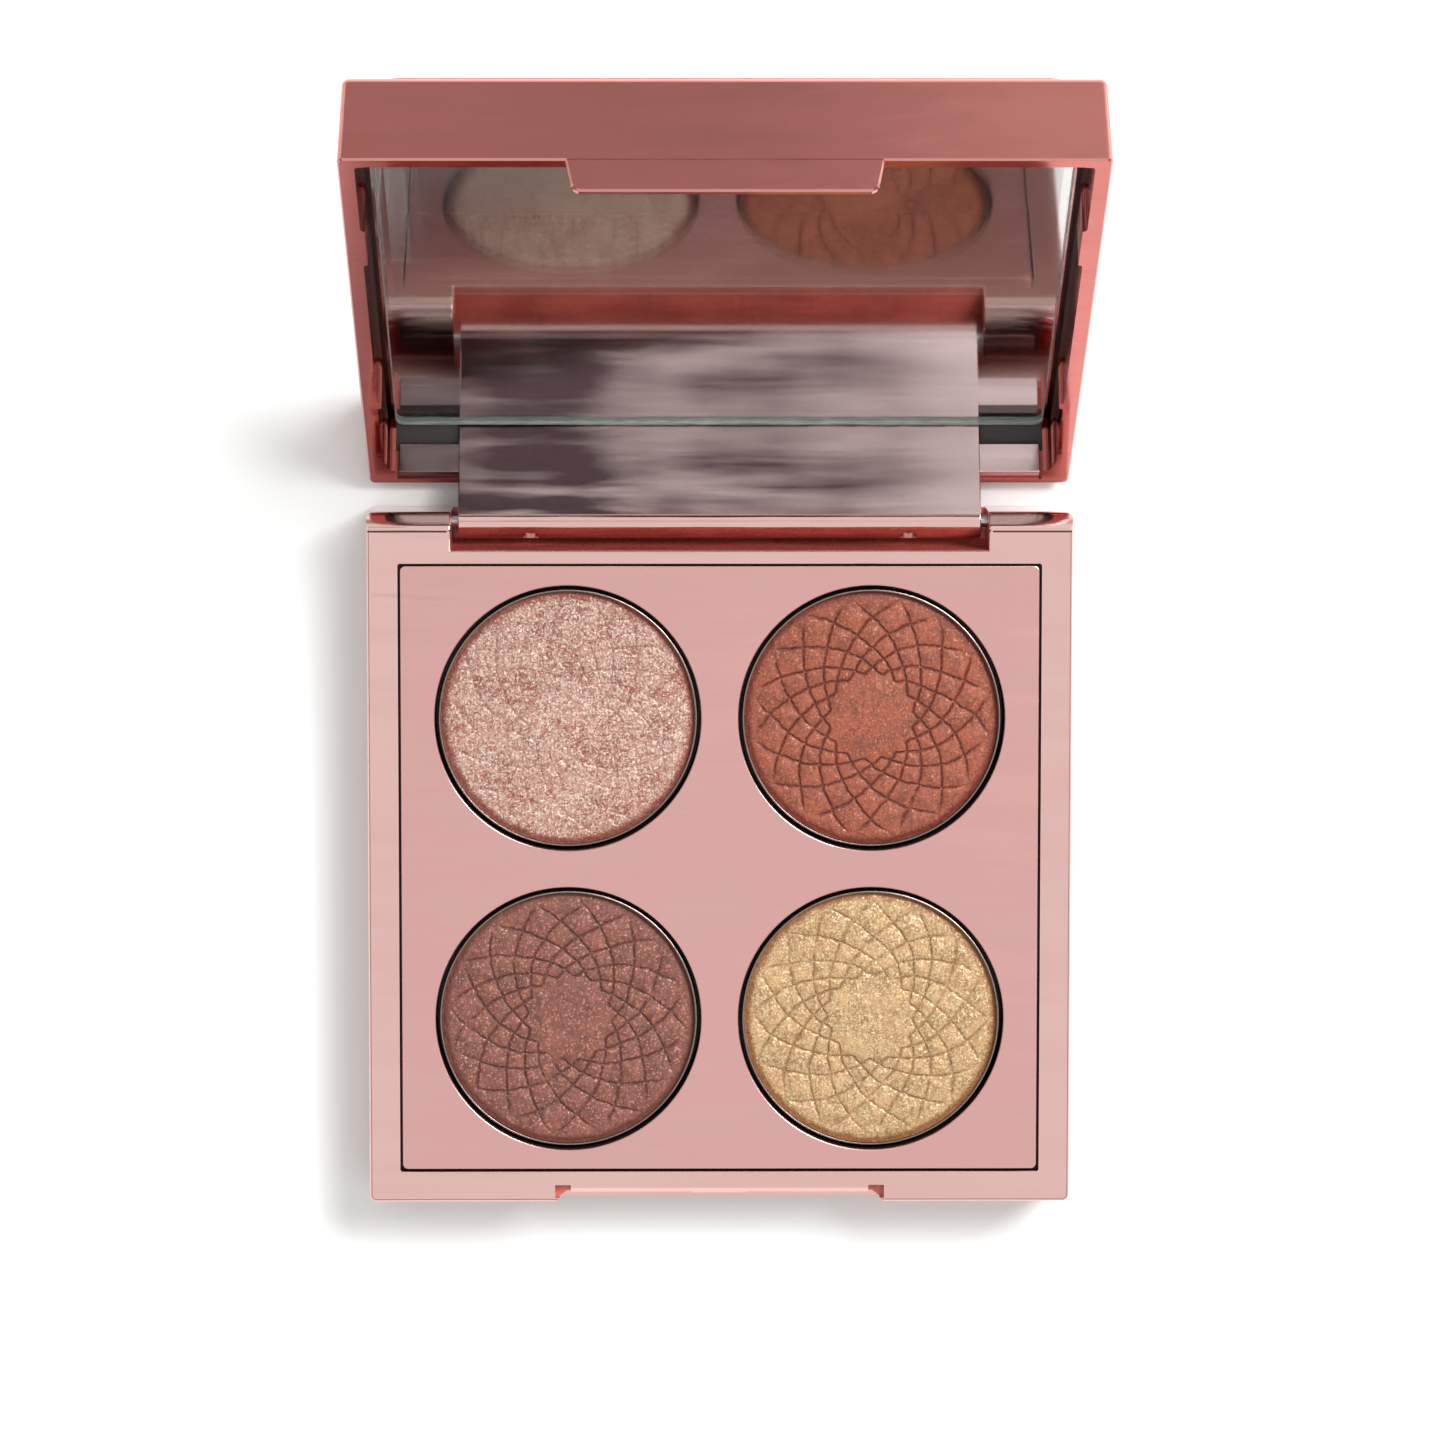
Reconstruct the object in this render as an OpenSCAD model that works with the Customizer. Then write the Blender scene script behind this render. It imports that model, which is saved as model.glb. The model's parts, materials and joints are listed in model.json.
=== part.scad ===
// Square pressed-powder palette: a base with four round pans and a mirrored lid on a rear hinge.
// Frame: X right, Y to the hinge side, Z up; the origin is the centre of the base's underside.
// The lid is drawn shut, in hinge coordinates, and then turned open by lid_open about the hinge.

/* [Base] */
// Outer width of the base and of the lid
base_w = 71.5; // [66:0.5:80]
// Outer depth of the base, front face to rear face
base_d = 70.6; // [66:0.5:80]
// Height of the base
base_h = 9.9; // [9.4:0.1:12]
// Width of the frame around the insert at the sides and front
frame_w = 3.15; // [2.6:0.05:4]
// Width of the frame between the insert and the hinge recess
frame_rear_w = 1.35; // [1:0.05:1.8]
// Corner radius in plan
corner_r = 0.7; // [0.5:0.1:2]
// Radius along the long upper and lower edges
edge_r = 0.45; // [0.2:0.05:0.8]

/* [Pans] */
// Outer diameter of a pan
pan_d = 26.2; // [24:0.1:26.5]
// Distance between neighbouring pans
pan_pitch = 30.8; // [29:0.1:32]
// Height of a pan
pan_h = 3.8; // [3:0.1:4.2]
// Wall of a pan
pan_wall = 0.2; // [0.15:0.05:0.6]
// Clearance between a pan and the hole it sits in
pan_gap = 0.4; // [0.2:0.05:0.5]

/* [Lid] */
// Angle from shut to the open position shown
lid_open = 119; // [90:1:120]
// Height of the lid, rim to outer face
lid_h = 8.7; // [8:0.1:9.5]
// Depth of the mirror below the rim
mirror_depth = 5.1; // [4.6:0.1:5.4]
// Width of the rim at the sides
rim_w = 2; // [1.6:0.1:2.4]
// Height of the latch tongue below the rim
tongue_h = 3.2; // [2.4:0.1:3.4]
// Width of the latch tongue at the rim
tongue_w = 29.5; // [24:0.5:30]

/* [Hinge] */
// Radius of the hinge barrel
barrel_r = 1.72; // [1.5:0.02:1.8]
// Radius of the two hinge pins
pin_r = 0.6; // [0.5:0.05:0.75]
// Distance from the hinge line to the rear face
hinge_inset = 1.2; // [1:0.1:1.6]
// Distance from the hinge line up to the top of the base
hinge_drop = 4.7; // [4.4:0.1:5]
// Length of one hinge ear
ear_w = 8.55; // [7:0.05:10]

/* [Hidden] */

$fn = 48;
eps = 0.01;

// Hinge line and the faces measured from it
hinge_y = base_d / 2 - hinge_inset;
hinge_z = base_h - hinge_drop;
recess_w = base_w - 2 * ear_w;
recess_y = base_d / 2 - 3.8;
recess_z = 2.2;
recess_r = hinge_z - recess_z;
recess_corner_r = 0.2;
barrel_w = recess_w - 1.3;
bore_r = pin_r + 0.05;
pin_x0 = barrel_w / 2 - 6;
pin_x1 = base_w / 2 - 0.4;
ear_edge_r = 2.0;

// Insert opening
floor_t = 1.2;
open_x = base_w / 2 - frame_w;
open_y0 = -base_d / 2 + frame_w;
open_y1 = recess_y - frame_rear_w;
open_r = 0.25;
ledge_w = 1.5;
insert_t = 1.2;
insert_drop = 0.15;
insert_gap = 0.2;
insert_top = base_h - insert_drop;
rib_t = 1;
rib_h = 3.4;
rib_gap = 1.2;
insert_r = 0.6;

// Wells and pans, front row first
well_y = (open_y0 + open_y1) / 2;
well_r = pan_d / 2 + pan_gap;
well_wall = 0.7;
well_floor = 0.8;
glue_t = 0.15;
pan_top = insert_top - 0.35;
pan_z = pan_top - pan_h;
well_z = pan_z - glue_t;
powder_z = pan_z + pan_wall;
powder_crown = 0.25;
powder_edge = pan_top - 0.45;
post_r = 2.4;

// Latch notch in the front wall
notch_w = 33.6;
notch_d = 1;
notch_h = 3.6;
pocket_w = 1.2;
pocket_d = 1.75;
pocket_h = 1.4;
catch_w = 5.8;
catch_h = 0.45;
catch_out = 0.3;
catch_z = base_h - 1.75;

// Label on the underside
label_w = 42;
label_d = 16;
label_y = 18;
label_t = 0.1;
label_recess = 0.25;

// Lid, in hinge coordinates with the lid shut
rim_z = hinge_drop + 0.1;
lid_top = rim_z + lid_h;
lid_y0 = -(base_d - hinge_inset);
lid_y1 = hinge_inset;
lid_draft = 0.35;
lid_wall_front = 1.45;
lid_top_t = 1.2;
lid_edge_r = 0.7;
slope_z = rim_z + 3.2;
slope_y = -1.9;
slope_rate = (lid_y1 - slope_y) / (lid_top - slope_z);
rear_wall_t = 1.0;
mirror_z = rim_z + mirror_depth;
glass_t = 1.2;
silver_t = 0.1;
tape_t = 0.15;
plate_z = mirror_z + glass_t + silver_t + tape_t;
plate_t = lid_top - lid_top_t - plate_z - 0.02;
mirror_x = 33;
mirror_y0 = lid_y0 + lid_wall_front + 0.25;
mirror_y1 = -barrel_r - 0.2;
hollow_y1 = mirror_y1 + 0.1;
mirror_r = 1;
block_x = 32.7;
block_y = -1.1;
block_top = rim_z + 0.25;
block_low = rim_z + 3.4;
slot_x = block_x + 0.25;
dimple_x = 19.2;
dimple_r = 0.9;
dimple_d = 0.5;
tongue_t = 0.85;
tongue_taper = 0.7;
tongue_r = 0.8;
hook_gap = 0.4;
pocket_in = 0.4;
cover_x = 33;
cover_y0 = lid_y0 + 1;
cover_y1 = -5;
cover_r = 3;
cover_sink = 0.4;
cover_out = 0.5;
cover_tape_t = 0.1;

// A plate with rounded corners in plan
module slab(x, y0, y1, z0, z1, r) {
    translate([0, 0, z0]) linear_extrude(z1 - z0) rounded(-x, x, y0, y1, r);
}

module rounded(x0, x1, y0, y1, r) {
    translate([x0 + r, y0]) square([x1 - x0 - 2 * r, y1 - y0]);
    translate([x0, y0 + r]) square([x1 - x0, y1 - y0 - 2 * r]);
    for (x = [x0 + r, x1 - r], y = [y0 + r, y1 - r]) translate([x, y]) circle(r);
}

// A box between two corners
module block(low, high) {
    translate(low) cube(high - low);
}

// An outline in Y and Z, run along X between -x and x
module along_x(x) {
    rotate([90, 0, 90]) translate([0, 0, -x]) linear_extrude(2 * x) children();
}

// An outline in X and Z, run along Y from y0 to y1
module along_y(y0, y1) {
    translate([0, y1, 0]) rotate([90, 0, 0]) linear_extrude(y1 - y0) children();
}

module on_hinge() {
    translate([0, hinge_y, hinge_z]) children();
}

module opened() {
    on_hinge() rotate([-lid_open, 0, 0]) children();
}

module at_pan(col, row) {
    translate([(col - 0.5) * pan_pitch, well_y + (row - 0.5) * pan_pitch, 0]) children();
}

module at_pans() {
    for (col = [0, 1], row = [0, 1]) at_pan(col, row) children();
}

// Base casing: tray with a frame, a recess and two ears for the hinge, and a notch for the latch
module base_shell() {
    color("#e0b8ae") difference() {
        base_body();
        slab(open_x, open_y0, open_y1, insert_top - insert_t, base_h + 1, open_r);
        slab(open_x - ledge_w, open_y0 + ledge_w, open_y1 - ledge_w, floor_t, base_h, open_r);
        hinge_recess();
        for (side = [-1, 1]) pin_hole(side);
        latch_notch();
        translate([0, label_y, 0]) slab(label_w / 2 + 0.3, -label_d / 2 - 0.3, label_d / 2 + 0.3,
                                        -1, label_recess, 1);
    }
    color("#e0b8ae") {
        translate([0, well_y, floor_t - eps]) cylinder(r = post_r, h = post_top() - floor_t + eps);
        translate([0, recess_catch_y(), catch_z]) rotate([90, 0, 90])
            translate([0, 0, -catch_w / 2]) linear_extrude(catch_w)
                polygon([[eps, -catch_h], [-catch_out, -0.1], [-catch_out, 0.1], [eps, catch_h]]);
    }
}

function recess_catch_y() = -base_d / 2 + notch_d;
function post_top() = well_z - glue_t - 0.35;

module base_body() {
    intersection() {
        slab(base_w / 2, -base_d / 2, base_d / 2, 0, base_h, corner_r);
        along_x(base_w / 2) base_side();
        along_y(-base_d / 2, base_d / 2)
            rounded(-base_w / 2, base_w / 2, 0, base_h, edge_r);
    }
}

// Side outline of the base, with the large rear edge that the lid turns past
module base_side() {
    y0 = -base_d / 2;
    y1 = base_d / 2;
    translate([y0 + edge_r, 0]) square([base_d - edge_r - ear_edge_r, base_h]);
    translate([y0, edge_r]) square([base_d, base_h - edge_r - ear_edge_r]);
    translate([y0 + edge_r, 0]) square([base_d - 2 * edge_r, edge_r]);
    for (z = [edge_r, base_h - edge_r]) translate([y0 + edge_r, z]) circle(edge_r);
    translate([y1 - edge_r, edge_r]) circle(edge_r);
    translate([y1 - ear_edge_r, base_h - ear_edge_r]) circle(ear_edge_r, $fn = 64);
}

// Recess for the barrel: upright walls above the hinge line and a hollow floor below it
module hinge_recess() {
    floor_y = recess_y + recess_r;
    slab(recess_w / 2, recess_y, base_d / 2 + 2, hinge_z, base_h + 1, recess_corner_r);
    along_x(recess_w / 2) {
        intersection() {
            translate([floor_y, hinge_z]) circle(recess_r, $fn = 96);
            translate([recess_y, recess_z]) square([recess_r, recess_r + eps]);
        }
        translate([floor_y - eps, recess_z]) square([base_d / 2 + 2 - floor_y, recess_r + 2 * eps]);
    }
}

module pin_hole(side) {
    on_hinge() rotate([0, 90 * side, 0]) translate([0, 0, recess_w / 2 - 1])
        cylinder(r = pin_r, h = ear_w + 2);
}

module latch_notch() {
    front = -base_d / 2;
    low = base_h - notch_h;
    block([-notch_w / 2 + pocket_w, front - 1, low], [notch_w / 2 - pocket_w, front + notch_d, base_h + 1]);
    for (side = [-1, 1]) mirror([side < 0 ? 1 : 0, 0, 0]) {
        block([notch_w / 2 - pocket_w - eps, front + 0.4, base_h - pocket_h],
              [notch_w / 2, front + pocket_d, base_h + 1]);
        translate([notch_w / 2 - pocket_w - eps, front - 1, low]) linear_extrude(notch_h + 1)
            polygon([[0, 0], [pocket_w, 0], [pocket_w, 1.05], [0, notch_d + 1]]);
    }
    // Lead-in along the notch's upper edge
    along_x(notch_w / 2 - pocket_w) polygon([[front + notch_d - eps, base_h - 0.7],
        [front + notch_d - eps, base_h + eps], [front + notch_d + 0.6, base_h + eps],
        [front + notch_d + 0.6, base_h - 0.15]]);
}

// Insert: flat plate with four cups below it
module insert_tray() {
    color("#d8a8a3") difference() {
        union() {
            slab(open_x - insert_gap, open_y0 + insert_gap, open_y1 - insert_gap,
                 insert_top - insert_t + 0.02, insert_top, insert_r);
            at_pans() translate([0, 0, well_z - well_floor])
                cylinder(r = well_r + well_wall, h = insert_top - well_z, $fn = 96);
            for (rib = [[0, open_x], [90, (open_y1 - open_y0) / 2]])
                translate([0, well_y, 0]) rotate([0, 0, rib[0]])
                    block([-rib[1] + ledge_w + rib_gap, -rib_t / 2, insert_top - rib_h],
                          [rib[1] - ledge_w - rib_gap, rib_t / 2, insert_top - 0.5]);
        }
        at_pans() translate([0, 0, well_z]) cylinder(r = well_r, h = pan_h + 2, $fn = 96);
        translate([0, well_y, insert_top - 4]) cylinder(r = post_r + 0.2, h = 1.2);
    }
}

module pan(col, row) {
    color("#c9c6c2") at_pan(col, row) translate([0, 0, pan_z]) difference() {
        cylinder(r = pan_d / 2, h = pan_h, $fn = 96);
        translate([0, 0, pan_wall]) cylinder(r = pan_d / 2 - pan_wall, h = pan_h, $fn = 96);
    }
}

// Pressed powder: a slightly crowned cake that fills the pan
module powder(col, row) {
    r = pan_d / 2 - pan_wall;
    crown_r = (r * r + powder_crown * powder_crown) / (2 * powder_crown);
    at_pan(col, row) intersection() {
        translate([0, 0, powder_z]) cylinder(r = r, h = pan_h, $fn = 96);
        translate([0, 0, powder_edge + powder_crown - crown_r]) sphere(crown_r, $fn = 360);
    }
}

module pan_champagne() { pan(0, 1); }
module pan_terracotta() { pan(1, 1); }
module pan_plum() { pan(0, 0); }
module pan_gold() { pan(1, 0); }

module powder_champagne() { color("#d9aa93") powder(0, 1); }
module powder_terracotta() { color("#b5694c") powder(1, 1); }
module powder_plum() { color("#7c5348") powder(0, 0); }
module powder_gold() { color("#d39a5c") powder(1, 0); }

// Glue dots under the pans
module pan_glue() {
    color("#e8e2cf") at_pans() translate([0, 0, well_z]) cylinder(r = 4, h = glue_t);
}

// Glue dot that holds the insert on the post of the base
module tray_glue() {
    color("#e8e2cf") translate([0, well_y, post_top()])
        cylinder(r = post_r, h = insert_top - rib_h - post_top());
}

module hinge_pin(side) {
    color("#b9bcc0") on_hinge() rotate([0, 90 * side, 0]) translate([0, 0, pin_x0])
        cylinder(r = pin_r, h = pin_x1 - pin_x0);
}

module hinge_pin_left() { hinge_pin(-1); }
module hinge_pin_right() { hinge_pin(1); }

module base_label() {
    color("#f2efe9") translate([0, label_y, 0])
        slab(label_w / 2, -label_d / 2, label_d / 2, label_recess - label_t, label_recess, 0.8);
}

// Lid casing: outer box, open to the rim, with the latch tongue on its front wall
module lid_shell() {
    color("#c07a70") opened() {
        difference() {
            lid_body();
            lid_hollow();
            slab(cover_x + 0.15, cover_y0 - 0.15, cover_y1 + 0.15, lid_top - cover_sink,
                 lid_top + 1, cover_r);
        }
        latch_tongue();
    }
}

module lid_body() {
    half = base_w / 2;
    intersection() {
        slab(half, lid_y0, lid_y1, rim_z, lid_top, corner_r);
        along_x(half) lid_side();
        along_y(lid_y0, lid_y1) polygon(concat(
            [[half, rim_z], [half - lid_draft + 0.05, lid_top - lid_edge_r]],
            [for (a = [15:15:90]) [half - lid_draft - lid_edge_r + lid_edge_r * cos(a),
                                   lid_top - lid_edge_r + lid_edge_r * sin(a)]],
            [for (a = [90:15:165]) [-half + lid_draft + lid_edge_r + lid_edge_r * cos(a),
                                    lid_top - lid_edge_r + lid_edge_r * sin(a)]],
            [[-half + lid_draft - 0.05, lid_top - lid_edge_r], [-half, rim_z]]));
    }
}

// Side outline of the lid, with the rear face that slopes so the open lid clears the table
module lid_side() {
    polygon(concat(
        [[lid_y0, rim_z], [lid_y1, rim_z], [lid_y1, slope_z],
         [slope_y + 0.6 * slope_rate, lid_top - 0.6], [slope_y - 0.3, lid_top]],
        [for (a = [90:15:180]) [lid_y0 + lid_edge_r + lid_edge_r * cos(a),
                                lid_top - lid_edge_r + lid_edge_r * sin(a)]]));
}

// Hollow of the lid: side pockets, the room for the mirror and the place of the lid frame
module lid_hollow() {
    inner_x = base_w / 2 - rim_w;
    front = lid_y0 + lid_wall_front;
    slab(inner_x, front, hollow_y1, rim_z - 1, lid_top - lid_top_t, 0.8);
    for (span = [[front + 0.1, -55], [-48, -17.5], [-16.5, -3.5]])
        slab(inner_x + pocket_in, span[0], span[1], rim_z - 1, rim_z + mirror_depth, 0.4);
    // Rear wall, thinned for the lid frame's ledge and cut through for its hinge wall
    along_x(slot_x) polygon([[block_y - 1, rim_z - 1], [rear_wall_y(0), rim_z - 1],
        [rear_wall_y(0), slope_z], [rear_wall_y(lid_top - lid_top_t - slope_z), lid_top - lid_top_t],
        [block_y - 1, lid_top - lid_top_t]]);
    block([-barrel_w / 2 - 0.1, block_y - 1, rim_z - 1],
          [barrel_w / 2 + 0.1, lid_y1 + 1, lid_top - lid_top_t]);
}

// Inner face of the lid's rear wall, at a height above the start of the slope
function rear_wall_y(rise) = lid_y1 - rear_wall_t - slope_rate * rise;

module latch_tongue() {
    low = rim_z - tongue_h;
    top_x = tongue_w / 2;
    low_x = top_x - tongue_taper;
    difference() {
        along_y(lid_y0, lid_y0 + tongue_t) polygon(concat(
            [[-top_x, rim_z + eps], [top_x, rim_z + eps]],
            [for (a = [0:-15:-90]) [low_x - tongue_r + tongue_r * cos(a), low + tongue_r + tongue_r * sin(a)]],
            [for (a = [-90:-15:-180]) [-low_x + tongue_r + tongue_r * cos(a),
                                       low + tongue_r + tongue_r * sin(a)]]));
        block([-catch_w / 2 - 0.4, lid_y0 + tongue_t - hook_gap, low + 0.75],
              [catch_w / 2 + 0.4, lid_y0 + tongue_t + 1, rim_z + eps]);
    }
}

// Lid frame: carries the mirror and the hinge barrel
module lid_frame() {
    color("#9c7f84") opened() difference() {
        union() {
            slab(mirror_x + 0.4, lid_y0 + lid_wall_front + 0.15, block_y - 1.2, plate_z,
                 plate_z + plate_t, 0.6);
            along_x(barrel_w / 2) hinge_web();
            for (side = [-1, 1]) block(
                [side > 0 ? barrel_w / 2 - eps : -block_x, block_y, block_top],
                [side > 0 ? block_x : -barrel_w / 2 + eps, lid_y1 - rear_wall_t - 0.1, block_low]);
            rotate([0, 90, 0]) cylinder(r = barrel_r, h = barrel_w, center = true, $fn = 64);
        }
        for (side = [-1, 1]) {
            rotate([0, 90 * side, 0]) translate([0, 0, pin_x0 - 0.4])
                cylinder(r = bore_r, h = barrel_w);
            translate([side * dimple_x, 0, -barrel_r])
                cylinder(r = dimple_r, h = 2 * dimple_d, center = true);
        }
        block([-base_w, lid_y1 - 0.05, -barrel_r - 1], [base_w, lid_y1 + 2, 3]);
    }
}

// Rear wall of the lid frame, from the barrel up to the mirror plate
module hinge_web() {
    inner = -barrel_r;
    outer = lid_y1 - 0.05;
    plate_top = plate_z + plate_t;
    polygon([[inner, 0], [outer, 0], [outer, slope_z], [outer - slope_rate * (plate_top - slope_z), plate_top],
             [block_y - 1.3, plate_top], [block_y - 1.3, plate_z], [inner, plate_z]]);
}

module mirror_glass() {
    color("#cfe0dc") opened() slab(mirror_x, mirror_y0, mirror_y1, mirror_z, mirror_z + glass_t, mirror_r);
}

module mirror_silver() {
    color("#9aa0a6") opened() slab(mirror_x, mirror_y0, mirror_y1, mirror_z + glass_t,
                                   mirror_z + glass_t + silver_t, mirror_r);
}

// Double-sided tape behind the mirror, two strips
module mirror_tape() {
    color("#f4f4f0") opened() for (y = [mirror_y0 + 6, mirror_y1 - 20])
        slab(mirror_x - 4, y, y + 14, plate_z - tape_t, plate_z, 1);
}

// Raised plate on the outside of the lid
module cover_plate() {
    color("#c98c80") opened() slab(cover_x, cover_y0, cover_y1, lid_top - cover_sink + cover_tape_t,
                                   lid_top + cover_out, cover_r);
}

module cover_tape() {
    color("#f4f4f0") opened() slab(cover_x - 3, cover_y0 + 3, cover_y1 - 3, lid_top - cover_sink,
                                   lid_top - cover_sink + cover_tape_t, 1);
}

base_shell();
insert_tray();
pan_champagne();
pan_terracotta();
pan_plum();
pan_gold();
powder_champagne();
powder_terracotta();
powder_plum();
powder_gold();
pan_glue();
tray_glue();
hinge_pin_left();
hinge_pin_right();
base_label();
lid_shell();
lid_frame();
mirror_glass();
mirror_silver();
mirror_tape();
cover_plate();
cover_tape();
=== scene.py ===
"""Visual model of a square pressed-powder palette: casing, insert, four embossed powders and a mirrored lid.

Every piece is shaped in millimetres and then set down in metres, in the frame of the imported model:
X right, Y to the hinge side, Z up. The lid is modelled shut, about its hinge line, and turned open.
"""

import json
import logging
import math
import random
from collections.abc import Callable
from dataclasses import dataclass, field
from enum import Enum

import bmesh
import bpy
from mathutils import Matrix, Vector, noise

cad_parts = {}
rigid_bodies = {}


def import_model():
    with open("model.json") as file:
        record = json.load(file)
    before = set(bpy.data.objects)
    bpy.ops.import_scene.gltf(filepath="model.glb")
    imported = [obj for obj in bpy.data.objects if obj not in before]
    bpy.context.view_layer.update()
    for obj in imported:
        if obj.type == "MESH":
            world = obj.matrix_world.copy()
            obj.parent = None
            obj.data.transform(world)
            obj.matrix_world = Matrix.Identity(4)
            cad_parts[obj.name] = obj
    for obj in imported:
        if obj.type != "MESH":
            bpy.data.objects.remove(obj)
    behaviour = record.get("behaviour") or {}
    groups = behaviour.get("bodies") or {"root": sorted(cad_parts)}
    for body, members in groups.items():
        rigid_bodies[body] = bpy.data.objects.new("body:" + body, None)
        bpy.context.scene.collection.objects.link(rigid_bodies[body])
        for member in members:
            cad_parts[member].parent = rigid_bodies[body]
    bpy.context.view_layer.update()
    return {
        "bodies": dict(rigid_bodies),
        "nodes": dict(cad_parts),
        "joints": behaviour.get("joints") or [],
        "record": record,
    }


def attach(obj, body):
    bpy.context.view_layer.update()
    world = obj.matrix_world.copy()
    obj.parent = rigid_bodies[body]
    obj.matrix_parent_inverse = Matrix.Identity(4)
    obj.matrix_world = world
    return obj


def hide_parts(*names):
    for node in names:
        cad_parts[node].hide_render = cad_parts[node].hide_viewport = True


LOG = logging.getLogger("palette")
MM = 0.001
TINY = 0.012

Triple = tuple[float, float, float]
EdgeTest = Callable[[Vector, Vector], bool]
Setting = "Field | float | Triple | tuple[float, float, float, float] | None"


def near(value: float, target: float, slack: float = TINY) -> bool:
    """Says whether a value is within a hair of a target."""
    return abs(value - target) < slack


def smooth_step(value: float, low: float, high: float) -> float:
    """Eases from 0 at low to 1 at high.

    Args:
        value: The number to ease.
        low: Where the result starts to rise.
        high: Where the result reaches 1.

    Returns:
        A number from 0 to 1.
    """
    part = min(max((value - low) / (high - low), 0.0), 1.0)
    return part * part * (3.0 - 2.0 * part)


# ---------------------------------------------------------------- shader maths


class Field:
    """A value that varies over a surface, held as the socket of a node."""

    def __init__(self, recipe: "Recipe", socket: bpy.types.NodeSocket) -> None:
        """Wraps a socket of a recipe's node tree."""
        self.recipe = recipe
        self.socket = socket

    def __add__(self, other: "Field | float") -> "Field":
        """Adds."""
        return self.recipe.math("ADD", self, other)

    __radd__ = __add__

    def __sub__(self, other: "Field | float") -> "Field":
        """Subtracts."""
        return self.recipe.math("SUBTRACT", self, other)

    def __rsub__(self, other: float) -> "Field":
        """Subtracts this field from a number."""
        return self.recipe.math("SUBTRACT", other, self)

    def __mul__(self, other: "Field | float") -> "Field":
        """Multiplies."""
        return self.recipe.math("MULTIPLY", self, other)

    __rmul__ = __mul__

    def __truediv__(self, other: "Field | float") -> "Field":
        """Divides."""
        return self.recipe.math("DIVIDE", self, other)

    def __pow__(self, other: "Field | float") -> "Field":
        """Raises to a power."""
        return self.recipe.math("POWER", self, other)


class Recipe:
    """The node tree of one material, or of the surroundings."""

    def __init__(self, tree: bpy.types.NodeTree) -> None:
        """Starts from an empty tree."""
        self.tree = tree
        tree.nodes.clear()

    def node(self, kind: str, settings: dict | None = None, inputs: dict | None = None) -> bpy.types.Node:
        """Makes one node.

        Args:
            kind: Blender's name for the node type.
            settings: The node's own properties; "stops" gives a ramp's (place, colour) pairs.
            inputs: Values or fields for its sockets, by name or number.

        Returns:
            The node.
        """
        made = self.tree.nodes.new(kind)
        for name, value in (settings or {}).items():
            if name == "stops":
                ramp = made.color_ramp
                while len(ramp.elements) < len(value):
                    ramp.elements.new(1.0)
                for stop, (place, colour) in zip(ramp.elements, value):
                    stop.position = place
                    stop.color = colour
            else:
                setattr(made, name, value)
        for name, value in (inputs or {}).items():
            if isinstance(value, Field):
                self.tree.links.new(value.socket, made.inputs[name])
            else:
                made.inputs[name].default_value = value
        return made

    def math(self, operation: str, *values: "Field | float", clamp: bool = False) -> Field:
        """Makes one Math node.

        Args:
            operation: The node's operation.
            values: Its numbers or fields, in order.
            clamp: Whether the result is held between 0 and 1.

        Returns:
            The result as a field.
        """
        made = self.node("ShaderNodeMath", {"operation": operation, "use_clamp": clamp},
                         dict(enumerate(values)))
        return Field(self, made.outputs[0])

    def place(self, stretch: Triple = (1.0, 1.0, 1.0), turn: Triple = (0.0, 0.0, 0.0)) -> Field:
        """Gives the object's own coordinates, in millimetres, stretched and turned.

        Args:
            stretch: Factor on each axis.
            turn: Turn about each axis, in degrees.

        Returns:
            The coordinates as a field.
        """
        where = self.node("ShaderNodeTexCoord")
        laid = self.node("ShaderNodeMapping", {"vector_type": "POINT"}, {
            "Vector": Field(self, where.outputs["Object"]),
            "Rotation": tuple(math.radians(angle) for angle in turn),
            "Scale": tuple(factor / MM for factor in stretch)})
        return Field(self, laid.outputs[0])

    def noise(self, where: Field, scale: float, detail: float = 2.0, rough: float = 0.5,
              warp: float = 0.0) -> Field:
        """Gives smooth noise from 0 to 1.

        Args:
            where: The coordinates, in millimetres.
            scale: Blobs per millimetre.
            detail: Finer layers added on top.
            rough: Strength of the finer layers.
            warp: Distortion of the blobs.

        Returns:
            The noise as a field.
        """
        made = self.node("ShaderNodeTexNoise", {"noise_dimensions": "3D"}, {
            "Vector": where, "Scale": scale, "Detail": detail, "Roughness": rough, "Distortion": warp})
        return Field(self, made.outputs["Fac"])

    def flakes(self, where: Field, scale: float) -> Field:
        """Gives a random number from 0 to 1 for each small cell, such as a mica flake.

        Args:
            where: The coordinates, in millimetres.
            scale: Cells per millimetre.

        Returns:
            The number of the cell as a field.
        """
        made = self.node("ShaderNodeTexVoronoi", {"feature": "F1"}, {"Vector": where, "Scale": scale})
        parts = self.node("ShaderNodeSeparateColor", {}, {"Color": Field(self, made.outputs["Color"])})
        return Field(self, parts.outputs["Red"])

    def spread(self, value: Field, low: float, high: float, to_low: float = 0.0,
               to_high: float = 1.0) -> Field:
        """Eases a field from one range into another, held at both ends.

        Args:
            value: The field.
            low: Where the result is to_low.
            high: Where the result is to_high.
            to_low: The result below low.
            to_high: The result above high.

        Returns:
            The eased field.
        """
        made = self.node("ShaderNodeMapRange", {"interpolation_type": "SMOOTHSTEP"}, {
            "Value": value, "From Min": low, "From Max": high, "To Min": to_low, "To Max": to_high})
        return Field(self, made.outputs[0])

    def blend(self, share: Field, first: "Field | Triple", second: "Field | Triple") -> Field:
        """Mixes two colours.

        Args:
            share: 0 gives the first colour and 1 the second.
            first: A colour or a field of colour.
            second: A colour or a field of colour.

        Returns:
            The mixed colour as a field.
        """
        colours = [value if isinstance(value, Field) else (*value, 1.0) for value in (first, second)]
        made = self.node("ShaderNodeMix", {"data_type": "RGBA", "clamp_factor": True},
                         {0: share, 6: colours[0], 7: colours[1]})
        return Field(self, made.outputs[2])

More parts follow.
